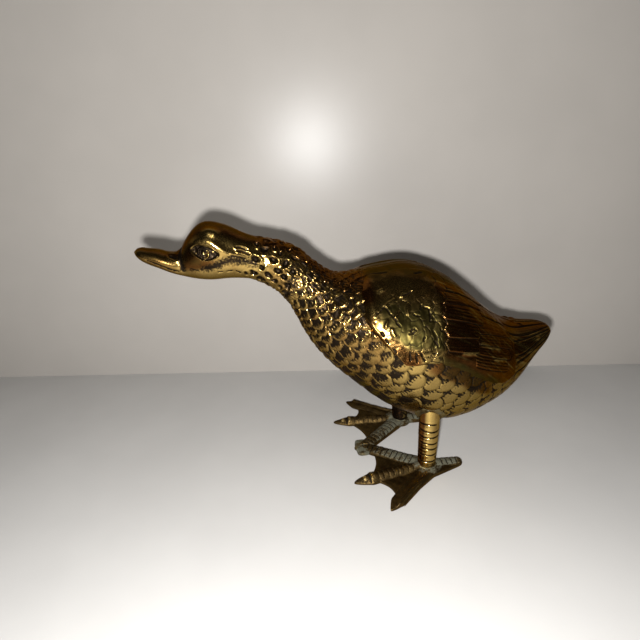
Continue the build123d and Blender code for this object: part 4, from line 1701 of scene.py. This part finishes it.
@dataclass
class Foot:
    """One webbed foot: four toes and two webs round an ankle, flat underneath.

    A web's edge is its distance from the ankle at both toes and its sag between them, in mm. The
    rings down the side and underneath are shares of the edge's distance and of its height.
    """

    place: tuple = LEG_PLACE
    joint_gap: float = 0.6
    pad_radius: float = 5.4
    pad_height: float = 2.5
    web_height: float = 1.5
    softness: float = 2.0
    soft_rise: float = 0.25
    edge_round: float = 0.9
    least_height: float = 0.35
    inner_web: tuple = (26.5, 27.5, 4.2)
    outer_web: tuple = (27.5, 26.5, 4.4)
    under_rings: tuple = ((1.0, 0.5), (0.995, 0.15), (0.98, 0.0), (0.5, 0.0), (0.012, 0.0))
    outer_edge: tuple = ((-15.2, 2.2), (-1.1, 7.2), (7.3, 13.1), (17.6, 21.9))
    rows: int = 108
    columns: int = 800
    inner: Toe = Toe(-38.5, 37.0, 3.5, 3.2, ToeEnd.ROUND, 1.0, 0.78, 0.5, 3.0)
    middle: Toe = Toe(7.5, 35.0, 3.1, 3.3, ToeEnd.CLAW, 0.7, 0.2, 0.75)
    outer: Toe = Toe(44.5, 33.4, 3.15, 2.5, ToeEnd.WEDGE, 0.1, 0.0, 0.4, 5.8)
    hind: Toe = Toe(182.0, 17.6, 2.7, 3.5, ToeEnd.ROUND, 1.0, 0.85, 0.45, 2.6)

    def toes(self) -> tuple:
        """The four toes."""
        return self.inner, self.middle, self.outer, self.hind

    def outline(self) -> tuple:
        """The foot's edge seen from above, as headings and distances from the ankle.

        In each direction the edge is the farthest of the pad, the toes and the webs. The edge's
        points are then spaced evenly along it.

        Returns:
            Headings in radians and distances in mm.
        """
        heading = np.linspace(-np.pi, np.pi, 24001)
        reach = np.full(heading.shape, self.pad_radius)
        for toe in self.toes():
            along = np.linspace(0.05, toe.length, 4000)
            width = toe.width(along)
            bearing = np.arctan2(width, along)
            order = np.argsort(bearing)
            turn = np.abs((heading - np.radians(toe.heading) + np.pi) % (2.0 * np.pi) - np.pi)
            far = np.interp(turn, bearing[order], np.hypot(along, width)[order], right=0.0)
            reach = np.maximum(reach, far)
        for first, second, (start, end, sag) in (
            (self.inner, self.middle, self.inner_web),
            (self.middle, self.outer, self.outer_web),
        ):
            share = (np.degrees(heading) - first.heading) / (second.heading - first.heading)
            web = start + (end - start) * share - sag * 4.0 * share * (1.0 - share)
            reach = np.maximum(reach, np.where((share > 0.0) & (share < 1.0), web, 0.0))
        corners = np.array(self.outer_edge)
        run = np.linspace(0.0, len(corners) - 1.0, 1200)
        edge_x, edge_y = (np.interp(run, np.arange(len(corners)), column) for column in corners.T)
        bearing = np.arctan2(edge_y, edge_x)[::-1]
        far = np.interp(heading, bearing, np.hypot(edge_x, edge_y)[::-1], left=0.0, right=0.0)
        reach = np.maximum(reach, far)
        stop = (self.place[1] - self.joint_gap / 2.0) / np.maximum(np.sin(-heading), 1e-6)
        reach = np.where((heading < 0.0) & (heading > -np.pi), np.minimum(reach, stop), reach)
        x, y = reach * np.cos(heading), reach * np.sin(heading)
        run = np.r_[0.0, np.cumsum(np.hypot(np.diff(x), np.diff(y)))]
        even = np.linspace(0.0, run[-1], self.columns + 1)[:-1]
        x, y = np.interp(even, run, x), np.interp(even, run, y)
        return np.arctan2(y, x), np.hypot(x, y)

    def edge_gap(self, x: Grid, y: Grid) -> Grid:
        """Distance from the straight runs of the outer edge: the least of the distances to each run.

        Args:
            x: distance ahead of the ankle, in mm.
            y: distance outwards, in mm.

        Returns:
            Distances in mm.
        """
        corners = np.array(self.outer_edge)
        gap = np.full(x.shape, np.inf)
        for start, end in zip(corners[:-1], corners[1:]):
            run = end - start
            share = np.clip(((x - start[0]) * run[0] + (y - start[1]) * run[1]) / (run @ run), 0.0, 1.0)
            gap = np.minimum(gap, np.hypot(x - start[0] - share * run[0], y - start[1] - share * run[1]))
        return gap

    def upper(self, x: Grid, y: Grid) -> tuple:
        """The upper side of the foot over a place measured from the ankle.

        Height is a soft maximum of the hollow web, the pad, the ridge along the outer edge and the
        toes, less what the softness adds. A toe is round across and has ribs along it.

        Args:
            x: distance ahead, in mm.
            y: distance outwards, in mm.

        Returns:
            Height in mm, grime, crust and wear.
        """
        away = np.hypot(x, y)
        web = self.web_height * (0.75 + 0.25 * smoothstep(26.0, 16.0, away))
        web = web + 0.9 * smoothstep(14.0, 5.0, away)
        pad = self.pad_height * smoothstep(9.0, 4.4, away)
        edge = self.edge_gap(x, y)
        rim = 3.0 * bell(edge - 1.7, 1.7) * smoothstep(3.0, 8.0, away) * (x > -4.0)
        total = np.exp(self.softness * web) + np.exp(self.softness * pad) + np.exp(self.softness * rim)
        grime = np.zeros_like(x)
        crust = 0.62 * smoothstep(10.5, 5.0, away)
        worn = 0.5 * bell(edge - 0.7, 0.35) * smoothstep(8.0, 14.0, away)
        for toe in self.toes():
            turn = np.radians(toe.heading)
            along = x * np.cos(turn) + y * np.sin(turn)
            aside = np.abs(-x * np.sin(turn) + y * np.cos(turn))
            width = np.maximum(toe.width(np.clip(along, 0.0, toe.length)), 0.05)
            inside = (along > 0.0) * np.clip(1.0 - (aside / (1.05 * width)) ** 2, 0.0, 1.0)
            stop = toe.length - toe.claw
            body = smoothstep(4.5, 6.0, along) * smoothstep(stop + 0.5, stop - 1.0, along)
            rib = np.abs(np.sin(np.pi * along / 2.4 + 0.3 * np.sin(1.4 * aside)))
            notch = smoothstep(0.6, 0.2, rib) * body * toe.ribs
            ridge = toe.crest(np.clip(along, 0.0, toe.length)) - 0.24 * notch
            total = total + np.exp(self.softness * ridge * inside**toe.roundness) * (inside > 0.0)
            grime = np.maximum(grime, 0.72 * notch * smoothstep(0.15, 0.5, inside))
            crusted = toe.crust * smoothstep(0.05, 0.4, inside) * smoothstep(toe.length + 9.0, 8.0, along)
            crust = np.maximum(crust, crusted)
            if toe.end is ToeEnd.CLAW:
                start = along - toe.length + toe.claw
                knuckle = 0.75 * bell(start + 0.8, 0.8) * smoothstep(0.3, 0.7, inside)
                point = 0.75 * bell(start - 2.7, 1.1) * smoothstep(0.45, 0.8, inside)
                worn = np.max([worn, knuckle, point], axis=0)
                dark = np.maximum(bell(start - 0.6, 0.42), 0.46 * smoothstep(0.8, 1.8, start))
                grime = np.maximum(grime, dark * smoothstep(0.02, 0.3, inside))
        return np.log(total) / self.softness - self.soft_rise, grime, crust, worn

    def build(self, side: Side, material: Material) -> Piece:
        """Makes the foot: rings from the ankle to the edge on top, down the side, and back underneath.

        Args:
            side: which foot.
            material: its finish.

        Returns:
            The new object.
        """
        heading, reach = self.outline()
        share = np.linspace(0.012, 1.0, self.rows)[:, None] ** 0.85
        x = share * reach * np.cos(heading)
        y = share * reach * np.sin(heading)
        height, grime, crust, worn = self.upper(x, y)
        height = height + 0.12 * ripple(np.stack([x, y, height], axis=-1), 4.0, 21)
        edge = np.minimum(1.0, (1.0 - share) * reach / self.edge_round)
        rounded = height * (0.62 + 0.38 * np.sqrt(1.0 - (1.0 - edge) ** 2))
        height = np.maximum(rounded, self.least_height)
        top = np.stack([x, y, height], axis=-1)
        under = top[-1] * np.array([(out, out, up) for out, up in self.under_rings])[:, None]
        points = np.concatenate([top, under], axis=0)
        points[..., 0] += self.place[0]
        points[..., 1] += self.place[1]
        below = len(under)
        marks = {
            "grime": np.vstack([grime, np.full((below, self.columns), 0.3)]),
            "crust": np.vstack([crust, np.repeat(crust[-1:], below, axis=0)]),
            "worn": np.vstack([worn, np.repeat(0.5 * worn[-1:], below, axis=0)]),
        }
        piece = make_piece(f"webbed_foot_{side.label()}", mirrored(points, side), material, marks)
        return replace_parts(piece, f"foot_{side.label()}")


@dataclass
class Brazing:
    """The lumps of braze that hold the legs and the toes."""

    form: DuckForm
    leg_place: tuple = LEG_PLACE
    hip_radius: float = 5.25
    hip_breadth: float = 1.25
    hip_height: float = 0.95
    hip_crust: float = 0.3
    ankle_radius: float = 4.0
    ankle_height: float = 2.7
    ankle_size: float = 0.6
    ankle_crust: float = 0.6
    toe_place: tuple = (-0.6, 0.6, 1.0)
    toe_size: tuple = (3.1, 5.6, 1.15)
    toe_power: float = 0.55
    toe_crust: float = 0.66
    toe_columns: int = 160
    toe_rows: int = 60
    columns: int = 150
    rows: int = 40

    def belly_height(self, x: Grid, y: Grid) -> Grid:
        """Height of the belly over a place near the hip: a quadratic fitted to the skin there.

        Args:
            x: place along the duck, in mm.
            y: place across it, in mm.

        Returns:
            Heights in mm.
        """
        station, angle = np.meshgrid(np.linspace(118.0, 146.0, 60), np.radians(np.linspace(115.0, 178.0, 60)))
        skin = self.form.point(station, angle).reshape(-1, 3)
        skin = skin[np.hypot(skin[:, 0] - self.leg_place[0], skin[:, 1] - self.leg_place[1]) < 11.0]

        def terms(east: Grid, north: Grid) -> Grid:
            """The terms of the quadratic."""
            return np.stack([np.ones_like(east), east, north, east**2, north**2, east * north], axis=-1)

        fit = np.linalg.lstsq(terms(skin[:, 0], skin[:, 1]), skin[:, 2], rcond=None)[0]
        return terms(x, y) @ fit

    def ring(self, radius: Grid, height: Grid, turn: Grid) -> Grid:
        """Points round the leg's axis: place + radius · (cos, sin) of the turn.

        Args:
            radius: distance from the axis, in mm.
            height: height over the floor, in mm.
            turn: angle round the axis, in radians.

        Returns:
            Points in mm.
        """
        x = self.leg_place[0] + radius * np.cos(turn)
        y = self.leg_place[1] + radius * np.sin(turn)
        return np.stack([x, y, height], axis=-1)

    def marks(self, points: Grid, crust: float) -> dict:
        """Marks of bare braze, patchy with crust.

        Args:
            points: places in mm.
            crust: how much crust there is.

        Returns:
            Values for each point, by name.
        """
        lumps = ripple(points, 3.0, 31)
        return {
            "grime": 0.3 + 0.25 * lumps,
            "crust": crust + 0.25 * ripple(points, 5.0, 33),
            "worn": np.zeros(points.shape[:2]),
        }

    def hip(self, side: Side, material: Material) -> Piece:
        """A lumpy collar on the belly round the leg: an ellipse carried round the leg, raised to the skin.

        Args:
            side: which leg.
            material: its finish.

        Returns:
            The new object.
        """
        turn = circle(self.columns)[:, None]
        section = circle(self.rows)[None, :]
        lump = 1.0 + 0.25 * np.sin(3.0 * turn + 0.7) + 0.18 * np.sin(7.0 * turn + 2.0)
        radius = self.hip_radius + self.hip_breadth * lump * np.cos(section)
        points = self.ring(radius, self.hip_height * lump * np.sin(section), turn)
        points[..., 2] += self.belly_height(points[..., 0], points[..., 1])
        marks = self.marks(points, self.hip_crust)
        piece = make_piece(f"hip_joint_{side.label()}", mirrored(points, side), material, marks, Ends.RING)
        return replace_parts(piece, f"hip_braze_{side.label()}")

    def ankle(self, side: Side, material: Material) -> Piece:
        """A lumpy fillet round the foot of the leg: a circle carried round it, swelling and shrinking.

        Args:
            side: which leg.
            material: its finish.

        Returns:
            The new object.
        """
        turn = circle(self.columns)[:, None]
        section = circle(self.rows)[None, :]
        lump = self.ankle_size * (1.0 + 0.22 * np.sin(2.0 * turn + 1.1) + 0.2 * np.sin(5.0 * turn))
        radius = self.ankle_radius + lump * np.cos(section)
        points = self.ring(radius, self.ankle_height + lump * np.sin(section), turn)
        marks = self.marks(points, self.ankle_crust)
        piece = make_piece(f"ankle_joint_{side.label()}", mirrored(points, side), material, marks, Ends.RING)
        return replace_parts(piece, f"ankle_braze_{side.label()}")

    def toes(self, material: Material) -> Piece:
        """A flat lump over the tips of the inner toes: a rounded box, flat underneath.

        The box is an ellipsoid whose sines and cosines are raised to a power below 1.

        Args:
            material: its finish.

        Returns:
            The new object.
        """
        turn = circle(self.toe_columns)[None, :]
        climb = np.linspace(-1.0, 1.0, self.toe_rows)[:, None] * np.pi / 2.0 * 0.995

        def squared(wave: Grid) -> Grid:
            """The wave raised to the box's power, with its sign kept."""
            return np.sign(wave) * np.abs(wave) ** self.toe_power

        spread = squared(np.cos(climb))
        rise = squared(np.sin(climb)) + 0.0 * turn
        box = np.stack([spread * squared(np.cos(turn)), spread * squared(np.sin(turn)), rise], axis=-1)
        points = np.array(self.toe_place) + np.array(self.toe_size) * box
        points = points + 0.22 * ripple(points, 4.0, 41)[..., None] * np.array([1.0, 1.0, 0.6])
        points[..., 2] = np.maximum(points[..., 2], 0.0)
        piece = make_piece("toe_joint", points, material, self.marks(points, self.toe_crust))
        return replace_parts(piece, "toe_braze")


@dataclass
class Studio:
    """The pale floor and backdrop, soft light and the camera."""

    camera_place: tuple = (48.6, 189.7, 145.0)
    camera_way: tuple = (-0.156, -0.988)
    camera_pitch: float = 21.56
    camera_roll: float = 1.2
    lens: float = 27.045
    sensor_width: float = 36.0
    floor_size: float = 6000.0
    floor_paint: PaintFinish = PaintFinish("floor_paint", (0.60, 0.585, 0.562))
    backdrop_distance: float = 278.0
    backdrop_width: float = 4000.0
    backdrop_height: float = 1600.0
    backdrop_paint: PaintFinish = PaintFinish("backdrop_paint", (0.46, 0.428, 0.39), 0.33, 0.27, True)
    key_shift: tuple = (-6.5, -15.0, 4.0)
    key_size: float = 9.0
    key_power: float = 3.3
    world_level: float = 0.028
    world_tint: Colour = (1.0, 0.97, 0.92)

    def ahead(self) -> Grid:
        """The camera's direction along the floor."""
        return np.array([*self.camera_way, 0.0]) / np.hypot(*self.camera_way)

    def axes(self) -> tuple:
        """The camera's own directions: its way along the floor, pitched down and then rolled.

        Returns:
            Right, up and forward.
        """
        pitch = np.radians(self.camera_pitch)
        roll = np.radians(self.camera_roll)
        flat = self.ahead()
        forward = flat * np.cos(pitch) + np.array([0.0, 0.0, -np.sin(pitch)])
        right = np.cross(flat, [0.0, 0.0, 1.0])
        up = np.cross(right, forward)
        turned_right = right * np.cos(roll) - up * np.sin(roll)
        turned_up = right * np.sin(roll) + up * np.cos(roll)
        return turned_right, turned_up, forward

    def stand(self, place: tuple) -> Matrix:
        """The stand of the camera or the lamp, turned as the camera is.

        Args:
            place: where it stands, in mm.

        Returns:
            The matrix that puts it there.
        """
        right, up, forward = self.axes()
        turn = Matrix((right, up, -forward)).transposed().to_4x4()
        return Matrix.Translation(Vector(place) * METRES_PER_MM) @ turn

    def add_camera(self) -> None:
        """Places the camera at the photograph's angle."""
        data = bpy.data.cameras.new("camera")
        data.lens = self.lens
        data.sensor_width = self.sensor_width
        data.clip_start = 0.001
        camera = bpy.data.objects.new("camera", data)
        bpy.context.scene.collection.objects.link(camera)
        camera.matrix_world = self.stand(self.camera_place)
        bpy.context.scene.camera = camera

    def add_light(self) -> None:
        """Adds one soft lamp beside the camera and a dim even world."""
        right, up, forward = self.axes()
        shift = self.key_shift
        place = np.array(self.camera_place) + right * shift[0] + up * shift[1] - forward * shift[2]
        data = bpy.data.lights.new("soft_lamp", "POINT")
        data.shadow_soft_size = self.key_size / 2.0 * METRES_PER_MM
        data.energy = self.key_power
        lamp = bpy.data.objects.new("soft_lamp", data)
        bpy.context.scene.collection.objects.link(lamp)
        lamp.matrix_world = self.stand(tuple(place))
        world = bpy.data.worlds.new("dim_world")
        world.use_nodes = True
        background = world.node_tree.nodes["Background"]
        glow = tuple(self.world_level * part for part in self.world_tint)
        background.inputs["Color"].default_value = (*glow, 1.0)
        background.inputs["Strength"].default_value = 1.0
        bpy.context.scene.world = world

    def add_sheet(self, name: str, corners: list, material: Material) -> None:
        """Adds one flat sheet of the stage.

        Args:
            name: the sheet's name.
            corners: its four corners in mm.
            material: its finish.
        """
        mesh = bpy.data.meshes.new(name)
        mesh.from_pydata((np.array(corners) * METRES_PER_MM).tolist(), [], [(0, 1, 2, 3)])
        mesh.materials.append(material)
        sheet = bpy.data.objects.new(name, mesh)
        bpy.context.scene.collection.objects.link(sheet)

    def build(self) -> None:
        """Adds the floor, the backdrop, the light and the camera."""
        bpy.context.scene.view_settings.view_transform = "Standard"
        half = self.floor_size / 2.0
        floor = [(-half, -half, 0.0), (half, -half, 0.0), (half, half, 0.0), (-half, half, 0.0)]
        self.add_sheet("pale_floor", floor, self.floor_paint.material())
        flat = self.ahead()
        middle = np.array([*self.camera_place[:2], 0.0]) + flat * self.backdrop_distance
        side = np.cross(flat, [0.0, 0.0, 1.0]) * self.backdrop_width / 2.0
        top = np.array([0.0, 0.0, self.backdrop_height])
        backdrop = [middle - side, middle + side, middle + side + top, middle - side + top]
        self.add_sheet("backdrop", backdrop, self.backdrop_paint.material())
        self.add_light()
        self.add_camera()


def main() -> None:
    """Builds the duck piece by piece, then the studio."""
    logging.basicConfig(level=logging.INFO, format="%(name)s: %(message)s")
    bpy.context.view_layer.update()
    brass = BrassFinish().material()
    form = DuckForm()
    eye = Eye(form)
    shell = BodyShell(form, WingPlan(), FeatherCoat(), eye)
    shell.work()
    wing = FoldedWing(form, shell.wing)
    wing.work()
    leg_brass = BrassFinish(name="leg_brass", gold=(0.54, 0.365, 0.112), brown_share=0.05).material()
    aged = AgedFinish().material()
    braze = AgedFinish(name="braze_alloy", brass=(0.24, 0.19, 0.09)).material()
    brazing = Brazing(form)
    # Painted shade on the far leg's inner side.
    far_leg_inner_shade = {Side.LEFT: 0.0, Side.RIGHT: 0.62}
    for side in Side:
        shell.build(side, brass)
        wing.build(side, brass)
        eye.build(side, brass)
        Leg(tarnish=far_leg_inner_shade[side]).build(side, leg_brass)
        Foot().build(side, aged)
        brazing.hip(side, braze)
        brazing.ankle(side, braze)
    brazing.toes(braze)
    SeamBraze(shell).build(brass)
    Studio().build()


if __name__ == "__main__":
    main()
